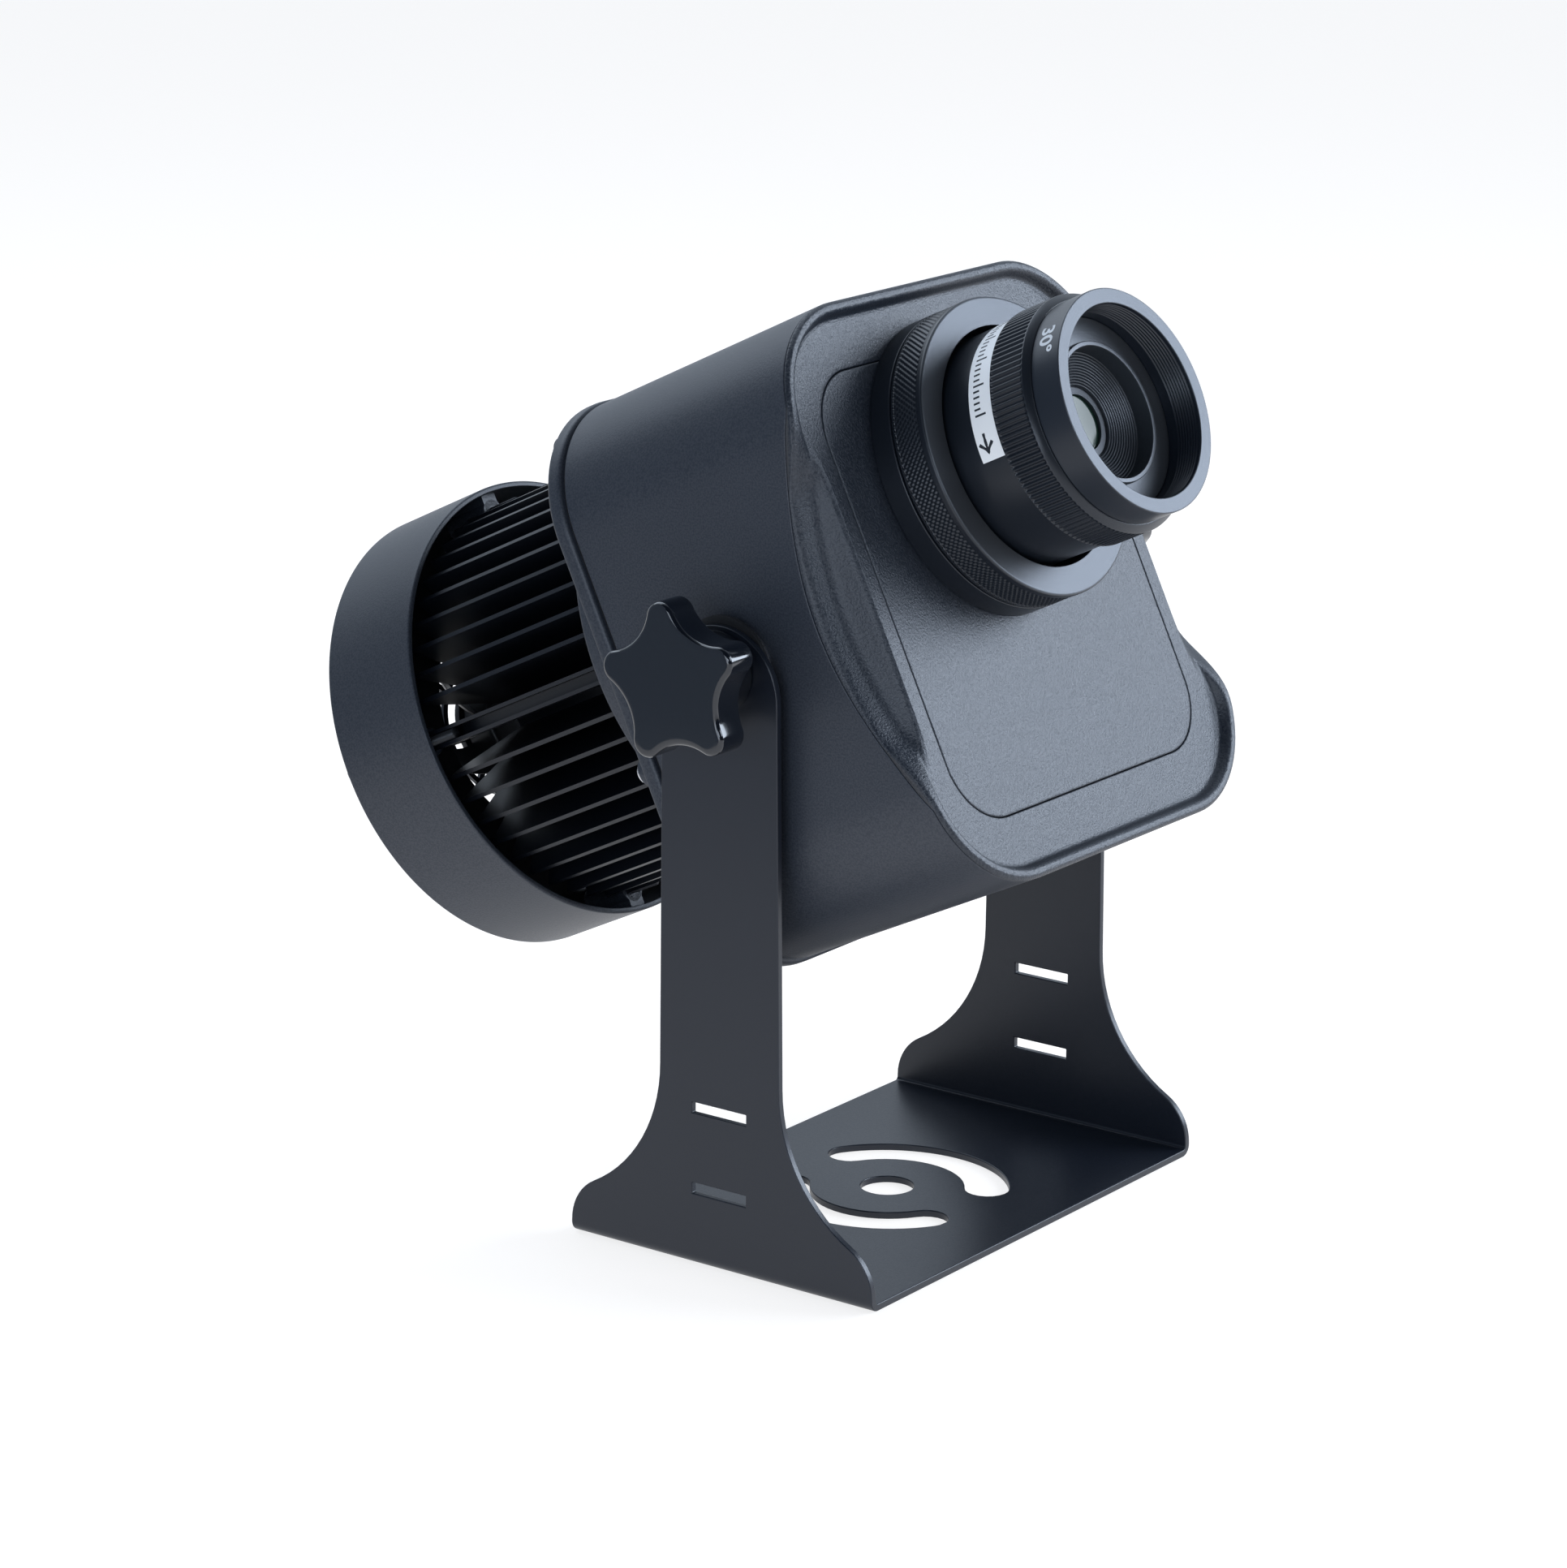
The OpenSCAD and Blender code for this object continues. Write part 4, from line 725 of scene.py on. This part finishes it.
def dress_bezel():
    """The bezel: a lipped band, a face drawn in to the round collar, and the collar itself."""
    nodes = housing_nodes()
    band = spline([(0.0, -41.7), (-0.55, -42.1), (-0.95, -43.0), (-1.0, -44.2), (-1.0, -45.6),
                   (-0.8, -46.5), (-0.2, -47.0), (0.8, -47.25)], 4)
    rings = [set_in(nodes, inset, s) for inset, s in band]
    start = rings[-1]
    end = round_node_points(nodes, COLLAR_R + 0.6, SINK_H, LOFT_S + 0.3)
    rings += [start + t * (end - start) for t in np.linspace(0.04, 1, 14)]
    mouth_r, pocket_r, pocket_s = FIN_TIP_R + 0.3, SINK_DISC_R + 0.1, COLLAR_REAR_S + 2.3
    collar = [(COLLAR_R + 0.1, LOFT_S - 0.1), (COLLAR_R, LOFT_S - 0.8), (COLLAR_R, COLLAR_REAR_S + 1.7),
              (COLLAR_R - 0.1, COLLAR_REAR_S + 1.1), (COLLAR_R - 1.1, COLLAR_REAR_S + 0.1),
              (COLLAR_R - 1.7, COLLAR_REAR_S), (mouth_r + 0.5, COLLAR_REAR_S),
              (mouth_r + 0.1, COLLAR_REAR_S + 0.1), (mouth_r, COLLAR_REAR_S + 0.5), (mouth_r, pocket_s),
              (pocket_r, pocket_s), (pocket_r, BEZEL_FRONT_S)]
    rings += [round_node_points(nodes, r, SINK_H, s) for r, s in collar]
    shells = [shell(place_head(np.stack(rings)), True)]
    pole_r, pad_s, screw_pad_r, gland_pad_r = 0.01, BEZEL_EDGE_S + 0.5, 5.0, 10.5
    pad = eased([(pad_s, pole_r), (pad_s, screw_pad_r), (SCREW_SEAT_S, screw_pad_r), (SCREW_SEAT_S, pole_r)],
                0.5, closed=False)
    for y, h in SCREW_SPOTS:
        for side in (-1, 1):
            shells.append(shell(place_head(turned_grid(pad, h, 48) + np.array([0, side * y, 0]))))
    pad = eased([(pad_s, pole_r), (pad_s, gland_pad_r), (GLAND_SEAT_S, gland_pad_r), (GLAND_SEAT_S, pole_r)],
                0.6, closed=False)
    shells.append(turned_shell(pad, GLAND_H, 72, closed=False))
    settle(make_piece("bezel_casting", shells), "head", "body", CHARCOAL, "rear_bezel")


def socket_screw_grid(head_r, head_t, socket_r, shank_r, shank_l, steps=48):
    """A domed screw head with a six-sided socket, its axis along s with the head at lower s.

    Rings run from the socket's floor, up its six-sided wall, over the dome and down the shank.
    """
    a = np.linspace(0, 2 * np.pi, steps, endpoint=False)
    six = socket_r / np.cos((a + np.pi / 6) % (np.pi / 3) - np.pi / 6)
    dome = np.linspace(0, np.pi / 2, 7)
    rows = [(0, -head_t * 0.35), (six * 0.98, -head_t * 0.35), (six, -head_t * 0.4)]
    rows += [(six, -head_t * 0.97), (six + 0.12, -head_t)]
    rows += [(head_r * (0.72 + 0.28 * math.sin(d)), -head_t * (0.45 + 0.55 * math.cos(d))) for d in dome]
    rows += [(head_r, -0.05), (head_r, 0.0), (shank_r, 0.0), (shank_r, shank_l), (0, shank_l)]
    return np.stack([np.stack([s + 0 * a, r * np.cos(a), r * np.sin(a)], -1) for r, s in rows])


def dress_screws():
    """The stainless screws on the bezel's pads, and the black ones that hold the shroud."""
    screw = socket_screw_grid(head_r=3.5, head_t=2.2, socket_r=1.25, shank_r=1.9, shank_l=24)
    shells = [shell(place_head(screw + np.array([SCREW_SEAT_S, side * y, h])))
              for y, h in SCREW_SPOTS for side in (-1, 1)]
    settle(make_piece("bezel_socket_screws", shells), "head", "steel", STEEL, "bezel_screws")
    screw = socket_screw_grid(head_r=4.2, head_t=3.0, socket_r=1.5, shank_r=1.7, shank_l=44)
    seat_s = SHROUD_REAR_S - 1.2
    quarters = np.arange(4) * np.pi / 2
    shells = [shell(place_head(screw + np.array([seat_s, SHROUD_SCREW_R * math.cos(a),
                                                 SINK_H + SHROUD_SCREW_R * math.sin(a)]))) for a in quarters]
    settle(make_piece("shroud_socket_screws", shells), "head", "black_screw", BLACK_STEEL, "shroud_screws")


def dress_shroud():
    """The shroud: a thin wall turned round the sink's axis, with four bosses for its screws inside."""
    inner = SHROUD_R - SHROUD_WALL
    profile = eased([(SHROUD_REAR_S, inner), (SHROUD_REAR_S, SHROUD_R), (SHROUD_FRONT_S, SHROUD_R),
                     (SHROUD_FRONT_S, inner)], [0.4, 0.7, 1.0, 0.3])
    shells = [turned_shell(profile, SINK_H, 360)]
    hole_r, boss_r, half_web = 1.9, 4.6, 3.2
    boss = eased([(SHROUD_REAR_S, hole_r), (SHROUD_REAR_S, boss_r), (SINK_REAR_S, boss_r),
                  (SINK_REAR_S, hole_r)], 0.3)
    for quarter in range(4):
        a = quarter * np.pi / 2
        out = np.array([math.cos(a), math.sin(a)])
        spot = turned_grid(boss, 0, 48) + np.array([0, *(SHROUD_SCREW_R * out + [0, SINK_H])])
        shells.append(shell(place_head(spot), True))
        across = np.array([-out[1], out[0]])
        corners = [SHROUD_SCREW_R * out + across * half_web, (inner + 0.5) * out + across * half_web,
                   (inner + 0.5) * out - across * half_web, SHROUD_SCREW_R * out - across * half_web]
        ring = np.array(corners) + [0, SINK_H]
        web = np.stack([np.concatenate([np.full((4, 1), s), ring], 1) for s in (SHROUD_REAR_S, SINK_REAR_S)])
        lid = web.mean(1, keepdims=True) + 0 * web
        shells.append(shell(place_head(np.concatenate([lid[:1], web, lid[1:]]))))
    settle(make_piece("shroud_band", shells, 50), "head", "body", CHARCOAL, "shroud_ring")


def dress_fan_rotor():
    """The fan's rotor: a turned hub and cambered blades, swept back towards the tip.

    A blade's section is a loop about a bowed chord. From root to tip it widens with the radius, and it
    lags behind by a power of it.
    """
    rear_s, front_s = FAN_FRONT_S - 12, FAN_FRONT_S - 1
    shaft_r, hub_r, root_r, tip_r, blade_l, blades = 1.6, 17, 16.6, 37.7, 20.4, 7
    hub = eased([(rear_s, shaft_r), (rear_s, hub_r), (front_s, hub_r), (front_s, shaft_r)],
                [0.2, 0.8, 1.6, 0.2])
    shells = [turned_shell(hub, SINK_H, 96)]
    radius = np.linspace(root_r, tip_r, 12)[:, None]
    share = (radius - root_r) / blade_l
    loop = np.linspace(0, 2 * np.pi, 28, endpoint=False)[None, :]
    chord = np.cos(loop)
    along = (rear_s + front_s) / 2 + chord * (5.0 - 0.9 * share ** 2)
    width = 9.5 + 5.5 * share
    camber = 1.6 * (1 - chord ** 2)
    thick = 0.75 * np.sin(loop) * (0.55 + 0.45 * np.sqrt(1 - 0.8 * chord ** 2))
    lag = 0.35 * share ** 1.5
    for blade in range(blades):
        a = 2 * np.pi * blade / blades - lag + (chord * width / 2 + camber + thick) / radius
        wall = np.stack([along + 0 * a, radius * np.cos(a), SINK_H + radius * np.sin(a)], -1)
        ends = [row.mean(0) + 0 * row for row in (wall[0], wall[-1])]
        shells.append(shell(place_head(np.concatenate([ends[:1], wall, ends[1:]]))))
    settle(make_piece("swept_rotor", shells, 50), "fan_rotor_body", "fan", FAN_PLASTIC, "fan_rotor")


def flutes(s, r, a):
    """Twelve shallow hollows round the gland's cap nut, on its outer wall only."""
    return -0.55 * np.clip(np.cos(12 * a), 0, 1) ** 2 * (r > 8.5)


def dress_gland_nut():
    """The gland's cap nut: a fluted wall that closes in a dome round the cord's opening."""
    flange_t, wall_l, nut_r, thread_r, thread_l, cord_r, dome_l = 4.1, 6, 9.0, 6.9, 7, 3.5, 5
    front_s = GLAND_SEAT_S - flange_t
    dome_s = front_s - wall_l
    dome = np.linspace(0, np.pi / 2, 9)
    rim_r = cord_r + 0.1
    cap = np.stack([dome_s - dome_l * np.sin(dome), rim_r + (nut_r - rim_r) * np.cos(dome) ** 0.8], -1)
    wall = np.stack([np.linspace(front_s - 0.6, dome_s + 0.2, 6), np.full(6, nut_r)], -1)
    profile = np.concatenate([
        [(front_s - thread_l, cord_r), (front_s - thread_l, thread_r), (front_s, thread_r)],
        [(front_s, nut_r - 0.2), (front_s - 0.2, nut_r)], wall, cap[1:], [(dome_s - dome_l, cord_r)]])
    piece = make_piece("fluted_gland_nut", [turned_shell(profile, GLAND_H, 144, ripple=flutes)], 50)
    settle(piece, "head", "nylon", NYLON, "gland_nut")


# Lens


def dress_mount():
    """The mount: its guide through the panel, the smooth collar and the neck under the lock ring."""
    guide_rear_s, collar_front_s, neck_front_s, pocket_s = 4, 56.5, 66, 51
    neck_r, pocket_r = 40.7, 38.2
    profile = eased([(guide_rear_s, BORE_R), (guide_rear_s, GUIDE_R), (COVER_FACE_S, GUIDE_R),
                     (COVER_FACE_S, MOUNT_R), (collar_front_s, MOUNT_R), (collar_front_s, neck_r),
                     (neck_front_s, neck_r), (neck_front_s, pocket_r), (pocket_s, pocket_r),
                     (pocket_s, BORE_R)],
                    [0.3, 0.3, 0.02, 0.3, 0.45, 0.1, 0.3, 0.3, 0.3, 0.3])
    piece = make_piece("mount_collar", [turned_shell(profile, LENS_H, 288)])
    settle(piece, "head", "lens", ANODISED, "lens_mount")


def knurl(s, r, a):
    """Diamond knurl: the mean of two triangle waves that cross, on the ring's outer band only."""
    rows_pitch, depth = 1.9, 0.6
    u = a / (2 * np.pi) * KNURLS
    v = s / rows_pitch
    wave = np.abs((u + v) % 1 - 0.5) + np.abs((u - v) % 1 - 0.5)
    fade = 0.25
    band = np.clip((s - KNURL_REAR_S) / fade, 0, 1) * np.clip((KNURL_FRONT_S - s) / fade, 0, 1)
    return -depth * wave * band * (r > MOUNT_R - 0.5)


def dress_lock_ring():
    """The lock ring: a turned profile whose outer band carries the knurl."""
    seat_s, seat_r, opening_r = 66.1, 40.8, 37.8
    front = eased([(KNURL_REAR_S - 0.03, MOUNT_R), (LOCK_S, MOUNT_R), (LOCK_S, seat_r), (seat_s, seat_r),
                   (seat_s, opening_r), (LOCK_FRONT_S, opening_r), (LOCK_FRONT_S, MOUNT_R),
                   (KNURL_FRONT_S + 0.05, MOUNT_R)],
                  [0.05, 0.2, 0.2, 0.1, 0.2, 0.25, 0.85, 0.05])
    band = np.linspace(KNURL_FRONT_S + 0.01, KNURL_REAR_S - 0.01, 44)
    profile = np.concatenate([front, np.stack([band, np.full_like(band, MOUNT_R)], -1)])
    piece = make_piece("knurled_ring", [turned_shell(profile, LENS_H, KNURLS * 6, ripple=knurl)])
    settle(piece, "lock_ring_body", "lens", ANODISED, "lock_ring")
    # The ring's front face is painted lighter, as a highlight.
    give_front_face(piece, LOCK_FRONT_S - 0.2)


def give_front_face(piece, from_s):
    """The faces that look ahead, beyond from_s, get a lighter copy of the lathed black: a painted highlight.
    """
    piece.data.materials.append(LATHED_PAINTED_HIGHLIGHT)
    mesh = piece.data
    normals = np.zeros(len(mesh.polygons) * 3, np.float32)
    centres = np.zeros_like(normals)
    mesh.polygons.foreach_get("normal", normals)
    mesh.polygons.foreach_get("center", centres)
    ahead = np.array([math.cos(HEAD_TILT), 0, math.sin(HEAD_TILT)])
    s = (centres.reshape(-1, 3) - MM * np.array([0, 0, PIVOT_Z])) @ ahead / MM
    least = 0.5
    facing = (normals.reshape(-1, 3) @ ahead > least) & (s > from_s)
    mesh.polygons.foreach_set("material_index", facing.astype(np.int32))


def ribs(s, r, a):
    """Straight ribs on the grip: a cosine clipped to flat tops and flat grooves, faded at both ends."""
    depth, middle, steepness, fade_l = 0.62, 0.62, 1.25, 0.5
    groove = np.clip(middle - steepness * np.cos(RIBS * a), 0, 1)
    fade = np.clip((s - GRIP_S - 0.02) / fade_l, 0, 1) * np.clip((RIB_END_S + 0.1 - s) / fade_l, 0, 1)
    return -depth * groove * fade * (r > GRIP_R - 0.3)


def dress_barrel():
    """The barrel: smooth behind, then the ribbed grip, bevelled in front, with the ring's seat."""
    rear_s, seat_edge_r = 57.5, GRIP_FRONT_R - 0.2
    shape = eased([(RING_SEAT_S, RING_SEAT_R), (RING_SEAT_S, BORE_R), (rear_s, BORE_R), (rear_s, BARREL_R),
                   (GRIP_S, BARREL_R), (GRIP_S, GRIP_R)], [0.1, 0.3, 0.3, 0.5, 0.08, 0.12], closed=False)
    band = np.linspace(GRIP_S + 0.1, RIB_END_S + 0.1, 40)
    ribbed = np.stack([band, np.full_like(band, GRIP_R)], -1)
    end = np.array([(RIB_END_S + 0.5, GRIP_R - 0.12), (GRIP_FRONT_S - 0.15, GRIP_FRONT_R),
                    (GRIP_FRONT_S, seat_edge_r), (GRIP_FRONT_S, RING_SEAT_R)])
    profile = np.concatenate([shape, ribbed, end])
    piece = make_piece("ribbed_barrel", [turned_shell(profile, LENS_H, RIBS * 8, ripple=ribs)])
    settle(piece, "focus_barrel", "lens", ANODISED, "lens_barrel")


def dress_front_ring():
    """The front ring: a front face painted lighter as a highlight, and a thread cut in its bore, drawn as a
    triangle wave.
    """
    thread = np.linspace(GRIP_FRONT_S + 1.6, FRONT_RING_S - 1.4, 72)
    pitch, depth, clearance = 1.0, 0.4, 0.1
    cut = depth * (np.abs((thread / pitch) % 1 - 0.5) * 2)
    bore = np.stack([thread, BORE_R + cut], -1)[::-1]
    tail_s, tail_r, rear_s = RING_SEAT_S + clearance, RING_SEAT_R - clearance, GRIP_FRONT_S + clearance
    shape = eased([(GRIP_FRONT_S + 1.3, BORE_R), (tail_s, BORE_R), (tail_s, tail_r), (rear_s, tail_r),
                   (rear_s, FRONT_RING_R), (FRONT_RING_S, FRONT_RING_R), (FRONT_RING_S, BORE_R),
                   (FRONT_RING_S - 1.2, BORE_R)],
                  [0.05, 0.2, 0.2, 0.05, 0.12, 0.35, 0.35, 0.05])
    profile = np.concatenate([shape, bore])
    piece = make_piece("threaded_front_ring", [turned_shell(profile, LENS_H, 320)])
    settle(piece, "focus_barrel", "lens_front", LATHED, "front_ring")
    # The ring's front face is painted lighter, as a highlight.
    give_front_face(piece, FRONT_RING_S - 0.4)


def dress_inner_tube():
    """The sliding tube: a stepped front with a cone of fine rings round the lens.

    Each ring of the cone is one step down it: a land painted lighter as a highlight, then a groove cut back
    behind it.
    """
    rings, cone_s, cone_run_s, cone_run_r = 12, 95, 3.5, 9.5
    tube_r, tube_bore_r, cell_bore_r, cell_s, rear_s = 30.0, 27.7, 25.5, 24, 12
    face_s, lip_s, lip_r, mouth_r = 99.3, 101, 22, 20.5
    stop_s, stop_t, lens_seat_r = 90.8, 1.0, 13.1
    seat_s = stop_s - stop_t
    tread = np.array([(0, 0), (0.5, 0.4), (0.8, 0.46), (3.0, 0.64), (3.1, 0.72), (1.3, 0.97)])
    step = np.array([cone_run_s, cone_run_r]) / rings
    cone = np.concatenate([np.array([cone_s, mouth_r]) - (k + tread) * step for k in range(rings)])
    front = eased([(rear_s, tube_bore_r), (rear_s, tube_r), (face_s, tube_r), (face_s, lip_r), (lip_s, lip_r),
                   (lip_s, mouth_r), (cone_s + 0.4, mouth_r)],
                  [0.2, 0.2, 0.3, 0.15, 0.3, 0.3, 0.05], closed=False)
    back = np.array([(stop_s, mouth_r - cone_run_r), (stop_s, STOP_R), (seat_s, STOP_R),
                     (seat_s, lens_seat_r), (84.4, lens_seat_r), (75.5, cell_bore_r), (cell_s, cell_bore_r),
                     (cell_s, tube_bore_r)])
    profile = np.concatenate([front[:-1], cone, back])
    piece = make_piece("stepped_tube", [turned_shell(profile, LENS_H, 256)], 30)
    settle(piece, "lens_carriage", "lens", BAFFLE, "inner_lens_tube")
    # The faces that look ahead, the cone's lands among them, are painted lighter, as a highlight.
    give_front_face(piece, 90)


def dress_front_lens():
    """The front lens element: a face dished to a parabola, a cylindrical edge and a domed back."""
    edge_r, edge_t, dome_h, dish_h, rim_s, rise, rise_r = 13, 2, 1.5, 1.1, 89, 0.6, 10
    r = np.linspace(0, edge_r, 40)
    ball = (edge_r ** 2 + dome_h ** 2) / (2 * dome_h)
    fall = ball - np.sqrt(ball ** 2 - r ** 2)
    dish = dish_h * np.clip(1 - (r / STOP_R) ** 2, 0, 1)
    front = np.stack([rim_s + rise * (r < rise_r) - dish, r], -1)
    back = np.stack([rim_s - edge_t - dome_h + fall, r], -1)[::-1]
    lens = turned_shell(np.concatenate([front, back]), LENS_H, 128, closed=False)
    settle(make_piece("domed_lens", [lens], 40), "lens_carriage", "lens_glass", FRONT_GLASS, "front_lens")


def on_barrel(s, up_deg, r):
    """Points on a cylinder about the lens axis: up_deg is the angle up from the near side."""
    a = np.radians(up_deg)
    return np.stack([s + 0 * a, -r * np.cos(a), LENS_H + r * np.sin(a) + 0 * s], -1)


def wrapped_strip(s_low, s_high, up_from, up_to, r_low, r_high, steps):
    """A thin curved plate on the barrel: its outline ring at r_low and at r_high, with both lids."""
    a = np.linspace(up_from, up_to, steps)
    rows = [on_barrel(s_low, a, r_low), on_barrel(s_low, a, r_high), on_barrel(s_high, a, r_high),
            on_barrel(s_high, a, r_low)]
    body = place_head(np.stack(rows))
    ends = [np.stack([body[:, k], body[:, k].mean(0) + 0 * body[:, k]]) for k in (0, -1)]
    lids = [(end, grid_faces(2, 4, False, True)) for end in ends]
    return [(body, grid_faces(4, steps, True, False))] + lids


def plate_on_barrel(points, r_low, r_high):
    """A flat outline of (s, up_deg) with few corners, wrapped on the barrel as a thin plate."""
    outline = np.asarray(points, float)
    middle = outline.mean(0) + 0 * outline
    rows = [(middle, r_low), (outline, r_low), (outline, r_high), (middle, r_high)]
    grid = place_head(np.stack([on_barrel(p[:, 0], p[:, 1], r) for p, r in rows]))
    return grid, grid_faces(4, len(outline), False, True)


def dress_label():
    """The white strip, with a plain arrow and a row of scale marks in black on it."""
    strip_rear_s, strip_front_s, strip_from, strip_to = 78.05, 87.05, -4, 100
    strip = wrapped_strip(strip_rear_s, strip_front_s, strip_from, strip_to,
                          BARREL_R + 0.01, BARREL_R + 0.15, 121)
    settle(make_piece("label_strip", strip, 40), "focus_barrel", "label", LABEL_WHITE, "focus_label")
    low, high = BARREL_R + 0.1, BARREL_R + 0.17
    arrow_s, scale_s, half = 81.4, 79.9, 0.5
    shaft = [[(arrow_s - half, top), (arrow_s + half, top), (arrow_s + half, end), (arrow_s - half, end)]
             for top, end in ((9.2, 4.9), (4.9, 0.6))]
    barbs = [[(arrow_s, -0.9), (arrow_s + side * 2.8, 4.1), (arrow_s + side * 2.0, 5.2), (arrow_s, 1.7)]
             for side in (1, -1)]
    marks = [plate_on_barrel(outline, low, high) for outline in shaft + barbs]
    for index, up in enumerate(np.arange(18.0, 93.0, 3.0)):
        tip_s = scale_s + (4.0 if index % 5 == 0 else 2.3)
        outline = [(scale_s, up - half), (tip_s, up - half), (tip_s, up + half), (scale_s, up + half)]
        marks.append(plate_on_barrel(outline, low, high))
    settle(make_piece("label_marks", marks, 40), "focus_barrel", "label", PRINT_BLACK)


def dress_number():
    """The beam angle, 30 and a degree sign, wrapped on the front ring with its tops to the front."""
    curve = bpy.data.curves.new("angle_text", "FONT")
    curve.body = "30°"
    curve.size = 1
    curve.extrude = 0.01
    curve.offset = 0.022
    curve.resolution_u = 6
    holder = add_object("angle_text", curve)
    bpy.context.view_layer.update()
    mesh = bpy.data.meshes.new_from_object(holder.evaluated_get(bpy.context.evaluated_depsgraph_get()))
    bpy.data.objects.remove(holder)
    co = np.zeros(len(mesh.vertices) * 3)
    mesh.vertices.foreach_get("co", co)
    co = co.reshape(-1, 3)
    low, high = co.min(0), co.max(0)
    share = (co - low) / (high - low)
    foot_s, tall, first_up, sweep = 103.7, 5.1, 53.5, 16.5
    s = foot_s + tall * share[:, 1]
    up = first_up - sweep * share[:, 0]
    r = FRONT_RING_R - 0.02 + 0.06 * share[:, 2]
    mesh.vertices.foreach_set("co", place_head(on_barrel(s, up, r)).ravel())
    settle(add_object("beam_angle_number", mesh), "focus_barrel", "label", PRINT_WHITE)


aim_camera()
light_room()
lay_floor()
stand_card("grey_card", (-0.39, -0.53), 0.45, 0.9, (0.22, 0.27, 0.34))
finish_cad_nodes()
dress_yoke()
dress_knob("star_knob_near", -1, "knob_right_body", "knob_right")
dress_knob("star_knob_far", 1, "knob_left_body", "knob_left")
dress_tube()
dress_cover()
dress_panel()
dress_bezel()
dress_screws()
dress_shroud()
dress_fan_rotor()
dress_gland_nut()
dress_mount()
dress_lock_ring()
dress_barrel()
dress_front_ring()
dress_inner_tube()
dress_front_lens()
dress_label()
dress_number()

bpy.context.view_layer.update()
